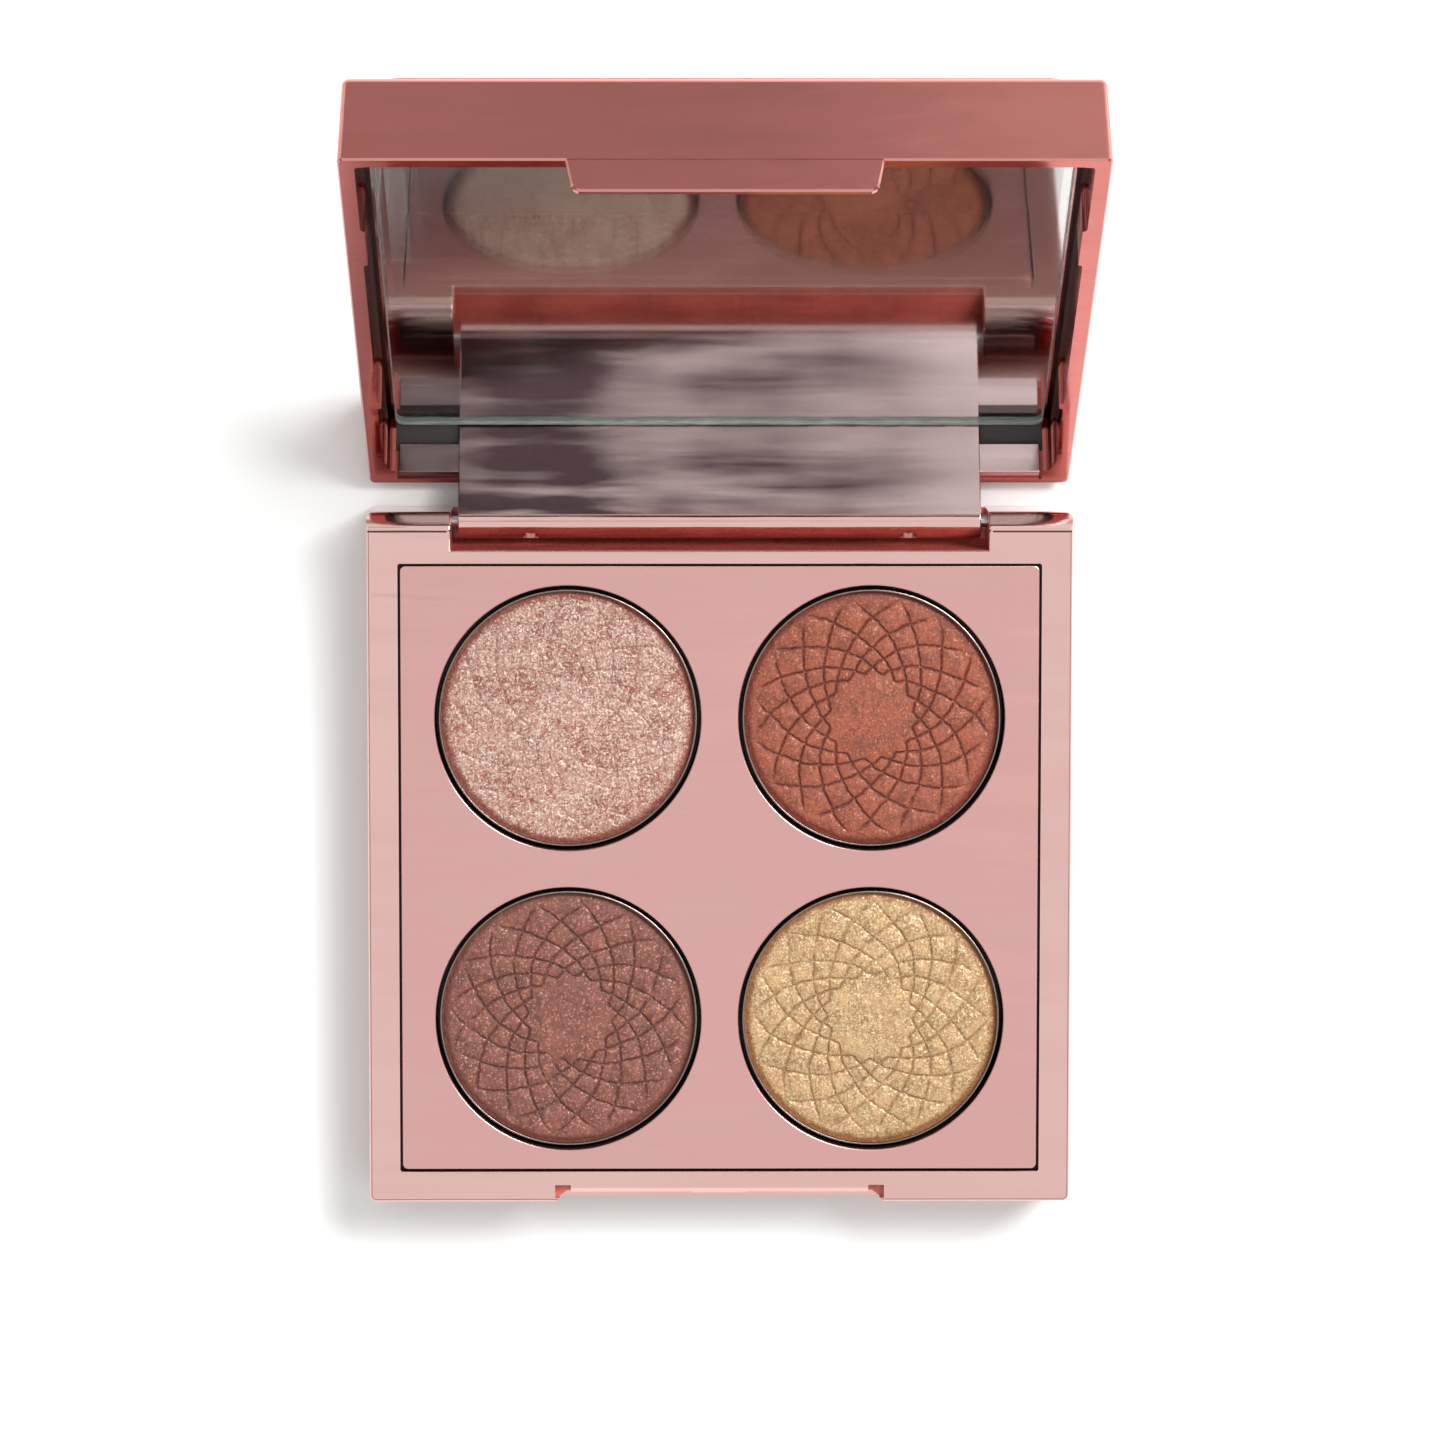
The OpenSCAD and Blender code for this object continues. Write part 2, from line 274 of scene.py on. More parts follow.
    def attribute(self, name: str) -> Field:
        """Reads a number that the mesh carries at its points."""
        made = self.node("ShaderNodeAttribute", {"attribute_name": name, "attribute_type": "GEOMETRY"})
        return Field(self, made.outputs["Fac"])

    def bump(self, height: Field, depth: float, strength: float = 1.0) -> Field:
        """Turns a height from 0 to 1 into a normal.

        Args:
            height: The height as a field.
            depth: What a height of 1 stands for, in millimetres.
            strength: How much of the effect shows.

        Returns:
            The normal as a field.
        """
        made = self.node("ShaderNodeBump", {}, {
            "Height": height, "Distance": depth * MM, "Strength": strength})
        return Field(self, made.outputs["Normal"])

    def surface(self, inputs: dict) -> None:
        """Ends the tree with a Principled surface that has these inputs."""
        shader = self.node("ShaderNodeBsdfPrincipled", {}, inputs)
        self.node("ShaderNodeOutputMaterial", {}, {"Surface": Field(self, shader.outputs[0])})


def new_recipe(name: str) -> tuple[bpy.types.Material, Recipe]:
    """Makes an empty material.

    Args:
        name: Its name.

    Returns:
        The material and its recipe.
    """
    material = bpy.data.materials.new(name)
    material.use_nodes = True
    return material, Recipe(material.node_tree)


# ---------------------------------------------------------------- finishes


@dataclass(frozen=True)
class Metallised:
    """Moulded plastic with a vacuum-plated rose metal skin under a clear lacquer, with painted reflections: dark
    streaks, and across X a painted sheen.
    """

    name: str
    tint: Triple
    # The deep colour is the dark of the painted reflection streaks and of the painted shade at the -X end.
    deep: Triple
    gloss: float = 0.08
    # Strength of the painted reflection streaks.
    reflected_streak: float = 0.35
    ripple: float = 0.004
    # How far the painted reflection streaks fade towards +X into a painted sheen, while the -X end is painted
    # darker.
    sheen_sweep: float = 0.0

    def make(self) -> bpy.types.Material:
        """Builds the material."""
        material, recipe = new_recipe(self.name)
        streaks = recipe.noise(recipe.place((0.035, 0.32, 0.32)), 1.0, 3.0, 0.5, 0.6)
        cloud = recipe.noise(recipe.place(), 0.06, 2.0)
        # Painted reflection streaks, which also vary the roughness.
        haze_and_reflection = recipe.spread(streaks * 0.6 + cloud * 0.4, 0.35, 0.7)
        fine = recipe.noise(recipe.place(), 9.0, 2.0)
        wave = recipe.noise(recipe.place((0.08, 0.5, 0.5)), 1.0, 2.0, 0.45, 0.4)
        parts = recipe.node("ShaderNodeSeparateXYZ", {}, {0: recipe.place()})
        across = Field(recipe, parts.outputs["X"])
        # Painted sheen and shade across X: the streaks fade and the tint brightens towards +X, and the -X end is
        # painted darker.
        clear = recipe.spread(across, 2.0, 28.0, 1.0, 1.0 - self.sheen_sweep)
        bright = tuple(min(1.0, part * (1.0 + 0.4 * self.sheen_sweep)) for part in self.tint)
        sheen = recipe.blend(recipe.spread(across, 6.0, 26.0), self.tint, bright)
        colour = recipe.blend(haze_and_reflection * clear * self.reflected_streak, sheen, self.deep)
        colour = recipe.blend(recipe.spread(across, -28.0, -22.0, 0.6 * self.sheen_sweep, 0.0), colour, self.deep)
        recipe.surface({
            "Base Color": colour,
            "Metallic": 1.0,
            "Roughness": recipe.spread(haze_and_reflection * 0.7 + fine * 0.3, 0.1, 0.9, self.gloss, self.gloss * 1.9),
            "Coat Weight": 0.25,
            "Coat Roughness": 0.03,
            "Normal": recipe.bump(wave + fine * 0.02, self.ripple * 10.0)})
        return material


@dataclass(frozen=True)
class BareMetal:
    """Drawn or turned metal, such as a tin pan or a steel pin."""

    name: str
    tint: Triple
    rough: float

    def make(self) -> bpy.types.Material:
        """Builds the material."""
        material, recipe = new_recipe(self.name)
        lines = recipe.noise(recipe.place((1.0, 1.0, 14.0)), 1.6, 3.0)
        wear = recipe.noise(recipe.place(), 0.5, 3.0)
        dark = tuple(part * 0.72 for part in self.tint)
        recipe.surface({
            "Base Color": recipe.blend(wear, self.tint, dark),
            "Metallic": 1.0,
            "Roughness": recipe.spread(lines, 0.2, 0.8, self.rough * 0.7, self.rough * 1.5),
            "Normal": recipe.bump(lines, 0.01)})
        return material


@dataclass(frozen=True)
class PressedPowder:
    """Pressed eye colour: pigment, mica flakes, a cloth-pressed weave, a rubbed rim and painted shade in the
    embossed grooves.
    """

    name: str
    tint: Triple
    shade: Triple
    # The groove colour is the painted shade of the embossed grooves.
    groove: Triple
    rim: Triple
    flake: Triple
    sparkle: float
    shine: float
    grain: float
    cracks: float

    def make(self) -> bpy.types.Material:
        """Builds the material."""
        material, recipe = new_recipe(self.name)
        plain = recipe.place()
        patches = recipe.noise(plain, 0.45, 3.0, 0.6)
        speck = recipe.noise(plain, 5.0, 3.0, 0.75)
        weave = recipe.noise(recipe.place((4.2, 1.1, 1.0), (0.0, 0.0, -24.0)), 1.0, 1.0, 0.4, 0.3)
        flake = recipe.flakes(plain, 6.5)
        coarse = recipe.flakes(plain, 3.4)
        groove = recipe.attribute("groove")
        rubbed = recipe.attribute("rim")
        shadow = recipe.spread(patches * 0.4 + speck * 0.4 + weave * 0.2, 0.41, 0.60)
        colour = recipe.blend(shadow * 0.85, self.tint, self.shade)
        vein = recipe.math("ABSOLUTE", recipe.noise(plain, 0.85, 3.0, 0.55, 1.3) - 0.5)
        where = recipe.spread(recipe.noise(plain, 0.3, 2.0) * 0.7 + speck * 0.3, 0.46, 0.56)
        crack = recipe.spread(vein, 0.012, 0.045, 1.0, 0.0) * where * self.cracks
        colour = recipe.blend(crack, colour, self.rim)
        # Painted shade: the embossed grooves are darkened towards the groove colour, and their sparkle is damped
        # further on.
        line = recipe.spread(groove * (0.5 + speck), 0.05, 0.95)
        colour = recipe.blend(line * 0.9, colour, self.groove)
        glint = recipe.spread(flake, 1.0 - self.sparkle, 1.0 - self.sparkle * 0.35)
        broad = recipe.spread(coarse * 0.55 + patches * 0.45, 0.62 - self.sparkle * 0.2, 0.78)
        sparkling = recipe.math("MAXIMUM", glint, broad * (self.sparkle * 1.1), clamp=True)
        colour = recipe.blend(sparkling * (1.0 - groove * 0.7) * (1.0 - crack * 0.6), colour, self.flake)
        fleck = recipe.spread(recipe.flakes(plain, 4.6), 0.88, 0.95)
        colour = recipe.blend(fleck * patches * self.cracks, colour, self.rim)
        ring = recipe.spread(rubbed * 0.6 + speck - 0.5, 0.27, 0.55)
        colour = recipe.blend(ring * 0.9, colour, self.rim)
        height = speck * 0.35 + weave * 0.35 + flake * 0.3
        recipe.surface({
            "Base Color": colour,
            "Metallic": sparkling * self.shine,
            "Roughness": 0.62 - sparkling * 0.3,
            "Normal": recipe.bump(height, self.grain)})
        return material


@dataclass(frozen=True)
class ClearGlass:
    """Float glass of a cosmetic mirror, with a trace of dust on its face."""

    name: str = "mirror_glass_face"

    def make(self) -> bpy.types.Material:
        """Builds the material."""
        material, recipe = new_recipe(self.name)
        dust = recipe.noise(recipe.place(), 1.3, 3.0, 0.6)
        recipe.surface({
            "Base Color": (0.965, 0.985, 0.975, 1.0),
            "Roughness": recipe.spread(dust, 0.55, 0.95, 0.0, 0.05),
            "Transmission Weight": 1.0,
            "IOR": 1.45})
        return material


@dataclass(frozen=True)
class GroundEdge:
    """Ground and greenish edge of a pane of glass."""

    name: str = "mirror_glass_edge"

    def make(self) -> bpy.types.Material:
        """Builds the material."""
        material, recipe = new_recipe(self.name)
        chips = recipe.noise(recipe.place((0.5, 4.0, 4.0)), 1.0, 3.0, 0.6)
        recipe.surface({
            "Base Color": recipe.blend(recipe.spread(chips, 0.4, 0.62), (0.84, 0.92, 0.86), (0.42, 0.54, 0.48)),
            "Roughness": recipe.spread(chips, 0.3, 0.7, 0.15, 0.4),
            "Coat Weight": 0.5,
            "Normal": recipe.bump(chips, 0.03)})
        return material


@dataclass(frozen=True)
class Silvering:
    """Silver layer behind the glass."""

    name: str = "mirror_silver_layer"

    def make(self) -> bpy.types.Material:
        """Builds the material."""
        material, recipe = new_recipe(self.name)
        cloud = recipe.noise(recipe.place(), 0.09, 2.0)
        recipe.surface({
            "Base Color": recipe.blend(cloud, (0.61, 0.61, 0.605), (0.56, 0.56, 0.555)),
            "Metallic": 1.0,
            "Roughness": recipe.spread(cloud, 0.3, 0.8, 0.06, 0.085)})
        return material


@dataclass(frozen=True)
class Fibre:
    """Paper, foam tape or dried glue: a dull white with fine fibres."""

    name: str
    tint: Triple
    rough: float = 0.8

    def make(self) -> bpy.types.Material:
        """Builds the material."""
        material, recipe = new_recipe(self.name)
        fibres = recipe.noise(recipe.place((3.0, 9.0, 3.0)), 1.0, 4.0, 0.6)
        dark = tuple(part * 0.84 for part in self.tint)
        recipe.surface({
            "Base Color": recipe.blend(fibres, self.tint, dark),
            "Roughness": recipe.spread(fibres, 0.2, 0.8, self.rough * 0.9, self.rough),
            "Normal": recipe.bump(fibres, 0.02)})
        return material


@dataclass(frozen=True)
class DarkGapShade:
    """Near-black moulded plastic with a fine grain, painted as shade in the gaps, slots and creases and on faces
    below the insert.
    """

    name: str = "dark_gap_shade"

    def make(self) -> bpy.types.Material:
        """Builds the material."""
        material, recipe = new_recipe(self.name)
        grain = recipe.noise(recipe.place(), 6.0, 3.0, 0.6)
        patch = recipe.noise(recipe.place((0.1, 0.4, 0.4)), 1.0, 2.0)
        recipe.surface({
            "Base Color": recipe.blend(patch, (0.016, 0.010, 0.009), (0.034, 0.017, 0.014)),
            "Roughness": recipe.spread(grain, 0.3, 0.7, 0.32, 0.5),
            "Normal": recipe.bump(grain, 0.012)})
        return material


@dataclass(frozen=True)
class RecessShade:
    """Darker red with a plated mottle, painted as shade in the hinge recess and the end pockets of the notch."""

    name: str = "rose_recess_shade"

    def make(self) -> bpy.types.Material:
        """Builds the material."""
        material, recipe = new_recipe(self.name)
        shade_blotch = recipe.noise(recipe.place((0.12, 0.5, 0.5)), 1.0, 3.0, 0.6, 0.5)
        mottle = recipe.noise(recipe.place(), 1.6, 3.0, 0.6)
        colour = recipe.blend(recipe.spread(shade_blotch, 0.35, 0.65), (0.62, 0.125, 0.095), (0.43, 0.066, 0.054))
        recipe.surface({
            "Base Color": recipe.blend(recipe.spread(mottle, 0.5, 0.72) * 0.6, colour, (0.60, 0.24, 0.18)),
            "Metallic": recipe.spread(mottle, 0.4, 0.7, 0.1, 0.55),
            "Roughness": recipe.spread(mottle, 0.3, 0.7, 0.25, 0.45),
            "Coat Weight": 0.4,
            "Normal": recipe.bump(mottle, 0.02)})
        return material


class Powder(Enum):
    """The four shades, each with its word, column, row and how crisp its pressing still is."""

    CHAMPAGNE = ("champagne", 0, 1, 0.5)
    TERRACOTTA = ("terracotta", 1, 1, 1.0)
    PLUM = ("plum", 0, 0, 0.9)
    GOLD = ("gold", 1, 0, 0.8)

    @property
    def title(self) -> str:
        """The shade's word, as the nodes are named."""
        return self.value[0]

    @property
    def crisp(self) -> float:
        """How crisp the pressed pattern still is, from 0 to 1."""
        return self.value[3]


POWDER_FINISH = {
    Powder.CHAMPAGNE: PressedPowder(
        "powder_champagne_pressed", (0.365, 0.190, 0.143), (0.175, 0.060, 0.046), (0.150, 0.042, 0.028),
        (0.190, 0.038, 0.024), (0.540, 0.405, 0.330), 0.50, 0.50, 0.20, 1.0),
    Powder.TERRACOTTA: PressedPowder(
        "powder_terracotta_pressed", (0.257, 0.058, 0.025), (0.102, 0.021, 0.009), (0.082, 0.011, 0.005),
        (0.123, 0.016, 0.007), (0.353, 0.110, 0.057), 0.22, 0.35, 0.12, 0.25),
    Powder.PLUM: PressedPowder(
        "powder_plum_pressed", (0.178, 0.055, 0.037), (0.066, 0.019, 0.013), (0.057, 0.015, 0.010),
        (0.107, 0.027, 0.017), (0.362, 0.154, 0.110), 0.20, 0.35, 0.12, 0.25),
    Powder.GOLD: PressedPowder(
        "powder_gold_pressed", (0.413, 0.248, 0.113), (0.162, 0.086, 0.035), (0.171, 0.074, 0.025),
        (0.219, 0.084, 0.026), (0.560, 0.418, 0.240), 0.40, 0.55, 0.13, 0.35),
}

ROSE_BASE = Metallised("rose_casing_base", (0.68, 0.425, 0.40), (0.63, 0.335, 0.305))
ROSE_LID = Metallised("rose_casing_lid", (0.60, 0.245, 0.22), (0.47, 0.175, 0.155), reflected_streak=0.4)
ROSE_INSERT = Metallised("rose_insert_satin", (0.625, 0.34, 0.325), (0.55, 0.28, 0.27), gloss=0.16, reflected_streak=0.4)
# A darker, redder copy of the lid's plating, painted as shade on the lid's rim and the walls inside it.
ROSE_RIM = Metallised("rose_casing_rim", (0.48, 0.115, 0.10), (0.40, 0.085, 0.07))
# The frame's mauve plating carries strong painted reflections: dark clouds on the left that fade into a painted
# sheen on the right.
MAUVE_FRAME = Metallised("rose_casing_frame", (0.72, 0.52, 0.52), (0.13, 0.07, 0.08), gloss=0.12, reflected_streak=1.5,
                         sheen_sweep=0.85)
# The pan tin is darkened to a dim rose-brown, as painted shade of the gap round each pan.
PAN_TIN = BareMetal("pan_metal_tin", (0.27, 0.20, 0.18), 0.25)
PIN_STEEL = BareMetal("pin_steel_drawn", (0.56, 0.57, 0.58), 0.3)
LABEL_PAPER = Fibre("label_paper_plain", (0.85, 0.83, 0.79))
TAPE_FOAM = Fibre("tape_foam", (0.86, 0.86, 0.83))
GLUE_DRY = Fibre("glue_dry", (0.74, 0.68, 0.55), 0.5)


# ---------------------------------------------------------------- modelling


def clear_selection() -> None:
    """Leaves edit mode and deselects everything."""
    if bpy.context.mode != "OBJECT":
        bpy.ops.object.mode_set(mode="OBJECT")
    bpy.ops.object.select_all(action="DESELECT")


class Piece:
    """A mesh under construction, in millimetres, shaped with Blender's own operators."""

    def __init__(self, obj: bpy.types.Object, name: str) -> None:
        """Takes over a freshly added primitive."""
        self.obj = obj
        obj.name = name
        obj.data.name = name
        self.settle()

    @classmethod
    def box(cls, name: str, low: Triple, high: Triple) -> "Piece":
        """Adds a block between two corners.

        Args:
            name: The piece's name.
            low: Its lowest corner.
            high: Its highest corner.

        Returns:
            The piece.
        """
        clear_selection()
        middle = [(a + b) / 2 for a, b in zip(low, high)]
        bpy.ops.mesh.primitive_cube_add(size=1.0, location=middle)
        obj = bpy.context.active_object
        obj.scale = [b - a for a, b in zip(low, high)]
        return cls(obj, name)

    @classmethod
    def plate(cls, name: str, half: float, span: tuple[float, float], rise: tuple[float, float],
              corner: float, segments: int = 8) -> "Piece":
        """Adds a plate with rounded corners in plan, centred in X.

        Args:
            name: The piece's name.
            half: Half its width.
            span: Its front and rear, in Y.
            rise: Its lower and upper face, in Z.
            corner: The radius of its corners.
            segments: Facets in each corner.

        Returns:
            The piece.
        """
        piece = cls.box(name, (-half, span[0], rise[0]), (half, span[1], rise[1]))
        piece.bevel(lambda middle, way: abs(way.z) > 0.9, corner, segments)
        return piece

    @classmethod
    def rod(cls, name: str, centre: Triple, radius: float, length: float, along: str = "Z",
            sides: int = 48) -> "Piece":
        """Adds a round bar.

        Args:
            name: The piece's name.
            centre: Its middle.
            radius: Its radius.
            length: Its length.
            along: The axis that it runs along, X or Z.
            sides: Facets round it.

        Returns:
            The piece.
        """
        clear_selection()
        turn = (0.0, math.pi / 2, 0.0) if along == "X" else (0.0, 0.0, 0.0)
        bpy.ops.mesh.primitive_cylinder_add(vertices=sides, radius=radius, depth=length,
                                            location=centre, rotation=turn)
        return cls(bpy.context.active_object, name)

    @classmethod
    def lathe(cls, name: str, outline: list[tuple[float, float]], centre: Triple, steps: int) -> "Piece":
        """Turns a closed outline once round an upright axis.

        Args:
            name: The piece's name.
            outline: (radius, height) of its corners, in order.
            centre: Where the axis stands.
            steps: Facets round the axis.

        Returns:
            The piece.
        """
        clear_selection()
        bpy.ops.mesh.primitive_circle_add(vertices=len(outline), radius=1.0, fill_type="NOTHING")
        piece = cls(bpy.context.active_object, name)
        for vertex, (radius, height) in zip(piece.obj.data.vertices, outline):
            vertex.co = (centre[0] + radius, centre[1], centre[2] + height)
        bpy.ops.object.mode_set(mode="EDIT")
        bpy.ops.mesh.select_all(action="SELECT")
        bpy.ops.mesh.spin(steps=steps, angle=2 * math.pi, center=centre, axis=(0.0, 0.0, 1.0))
        bpy.ops.mesh.select_all(action="SELECT")
        bpy.ops.mesh.remove_doubles(threshold=0.0005)
        bpy.ops.mesh.delete_loose(use_verts=True, use_edges=True, use_faces=False)
        bpy.ops.mesh.select_all(action="SELECT")
        bpy.ops.mesh.normals_make_consistent(inside=False)
        bpy.ops.object.mode_set(mode="OBJECT")
        return piece

    def settle(self, matrix: Matrix | None = None) -> None:
        """Writes the object's place, or a given one, into its mesh."""
        clear_selection()
        self.obj.select_set(True)
        bpy.context.view_layer.objects.active = self.obj
        if matrix is not None:
            self.obj.matrix_world = matrix
        bpy.ops.object.transform_apply(location=True, rotation=True, scale=True)

    def pick(self, test: EdgeTest) -> int:
        """Goes into edit mode and selects edges by where they are and which way they run.

        Args:
            test: Takes an edge's middle and its unit direction.

        Returns:
            How many edges are selected.
        """
        clear_selection()
        bpy.context.view_layer.objects.active = self.obj
        self.obj.select_set(True)
        bpy.ops.object.mode_set(mode="EDIT")
        bpy.ops.mesh.select_mode(type="EDGE")
        bpy.ops.mesh.select_all(action="DESELECT")
        mesh = bmesh.from_edit_mesh(self.obj.data)
        count = 0
        for edge in mesh.edges:
            start, end = (vertex.co for vertex in edge.verts)
            if test((start + end) / 2, (end - start).normalized()):
                edge.select_set(True)
                count += 1
        bmesh.update_edit_mesh(self.obj.data)
        return count

    def bevel(self, test: EdgeTest, width: float, segments: int = 3) -> "Piece":
        """Rounds the edges that pass a test.

        Args:
            test: Takes an edge's middle and its unit direction.
            width: How wide the rounding is.
            segments: Facets across it.

        Returns:
            The piece.
        """
        if self.pick(test):
            bpy.ops.mesh.bevel(offset_type="OFFSET", offset=width, segments=segments, profile=0.5,
                               affect="EDGES", clamp_overlap=True)
        else:
            LOG.warning("%s: no edge to bevel by %.2f", self.obj.name, width)
        bpy.ops.object.mode_set(mode="OBJECT")
        return self

    def taper(self, test: Callable[[Vector], bool], factor: Triple, about: Triple) -> "Piece":
        """Scales the points that pass a test.

        Args:
            test: Takes a point's place.
            factor: The scale on each axis.
            about: The point that stays.

        Returns:
            The piece.
        """
        self.pick(lambda middle, way: False)
        bpy.ops.mesh.select_mode(type="VERT")
        mesh = bmesh.from_edit_mesh(self.obj.data)
        for vertex in mesh.verts:
            vertex.select_set(test(vertex.co))
        bmesh.update_edit_mesh(self.obj.data)
        bpy.ops.transform.resize(value=factor, center_override=about)
        bpy.ops.object.mode_set(mode="OBJECT")
        return self

    def slice(self, point: Triple, normal: Triple) -> "Piece":
        """Cuts away what lies on the side of a plane that its normal points to, and closes the cut.

        Args:
            point: A point of the plane.
            normal: The plane's normal.

        Returns:
            The piece.
        """
        self.pick(lambda middle, way: False)
        bpy.ops.mesh.select_all(action="SELECT")
        bpy.ops.mesh.bisect(plane_co=point, plane_no=normal, use_fill=True, clear_outer=True)
        bpy.ops.object.mode_set(mode="OBJECT")
        return self

    def combine(self, operation: str, *others: "Piece") -> "Piece":
        """Unites, cuts or intersects this piece with others, which are used up.

        Args:
            operation: UNION, DIFFERENCE or INTERSECT.
            others: The other pieces.

        Returns:
            The piece.
        """
        for other in others:
            clear_selection()
            bpy.context.view_layer.objects.active = self.obj
            self.obj.select_set(True)
            modifier = self.obj.modifiers.new(operation.lower(), "BOOLEAN")
            modifier.operation = operation
            modifier.solver = "EXACT"
            modifier.object = other.obj
            bpy.ops.object.modifier_apply(modifier=modifier.name)
            bpy.data.objects.remove(other.obj)
        return self

    def cut(self, *others: "Piece") -> "Piece":
        """Cuts others out of this piece."""
        return self.combine("DIFFERENCE", *others)

    def add(self, *others: "Piece") -> "Piece":
        """Unites others with this piece."""
        return self.combine("UNION", *others)

    def twin(self, name: str, shift: Triple) -> "Piece":
        """Copies this piece, with a mesh of its own, to another place.

        Args:
            name: The copy's name.
            shift: How far it is moved.

        Returns:
            The copy.
        """
        clear_selection()
        copy = self.obj.copy()
        copy.data = self.obj.data.copy()
        bpy.context.scene.collection.objects.link(copy)
        copy.location = shift
        return Piece(copy, name)

    def flipped(self, name: str) -> "Piece":
        """Gives a mirror image of this piece on the other side of X = 0."""
        twin = self.twin(name, (0.0, 0.0, 0.0))
        twin.settle(Matrix.Scale(-1.0, 4, (1.0, 0.0, 0.0)))
        bpy.ops.object.mode_set(mode="EDIT")
        bpy.ops.mesh.select_all(action="SELECT")
        bpy.ops.mesh.normals_make_consistent(inside=False)
        bpy.ops.object.mode_set(mode="OBJECT")
        return twin

    def smooth(self, angle: float = 32.0, weighted: bool = True) -> "Piece":
        """Shades round surfaces smooth and keeps flat ones flat.

        Args:
            angle: The largest fold, in degrees, that is shaded as a curve.
            weighted: Whether the normals are weighted by the faces' areas.

        Returns:
            The piece.
        """
        clear_selection()
        self.obj.select_set(True)
        bpy.context.view_layer.objects.active = self.obj
        bpy.ops.object.shade_smooth_by_angle(angle=math.radians(angle))
        if weighted:
            modifier = self.obj.modifiers.new("weighted", "WEIGHTED_NORMAL")
            modifier.keep_sharp = True
            bpy.ops.object.modifier_apply(modifier=modifier.name)
        return self

    def paint(self, number: int, test: Callable[[Vector, Vector], bool]) -> "Piece":
        """Gives the faces that pass a test another of the piece's materials.

        Args:
            number: The material's number.
            test: Takes a face's middle and its normal.

        Returns:
            The piece.
        """
        for polygon in self.obj.data.polygons:
            if test(polygon.center, polygon.normal):
                polygon.material_index = number
        return self

    def deliver(self, body: str, slot: str, materials: list[bpy.types.Material], *nodes: str,
                placing: Matrix | None = None) -> bpy.types.Object:
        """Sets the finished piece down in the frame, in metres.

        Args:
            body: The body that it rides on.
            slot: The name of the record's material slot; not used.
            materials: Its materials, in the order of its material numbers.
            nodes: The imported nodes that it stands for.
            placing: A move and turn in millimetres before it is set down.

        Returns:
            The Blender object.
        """
        self.settle(Matrix.Scale(MM, 4) @ (placing or Matrix.Identity(4)))
        for material in materials:
            self.obj.data.materials.append(material)
        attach(self.obj, body)
        if nodes:
            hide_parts(*nodes)
        LOG.info("%s: %d faces, rides on %s", self.obj.name, len(self.obj.data.polygons), body)
        return self.obj


def dress(node: bpy.types.Object, material: bpy.types.Material) -> None:
    """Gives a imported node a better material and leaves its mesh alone."""
    if not node.material_slots:
        node.data.materials.append(material)
    for place in node.material_slots:
        place.material = material


# ---------------------------------------------------------------- base


@dataclass
class Layout:
    """Sizes that the base, the insert and the pans share, in millimetres."""

    width: float = 71.5
    depth: float = 70.6
    height: float = 9.9
    corner: float = 0.7
    open_half: float = 32.6
    open_front: float = -32.15
    open_rear: float = 30.15
    insert_top: float = 9.75
    pitch: float = 30.8
    well_y: float = -1.0
    well_radius: float = 13.5
    pan_radius: float = 13.1
    pan_low: float = 5.6
    pan_high: float = 9.4

    def pan_centre(self, powder: Powder) -> Triple:
        """Gives the middle of a pan's underside."""
        _, column, row, _ = powder.value
        return ((column - 0.5) * self.pitch, self.well_y + (row - 0.5) * self.pitch, 0.0)


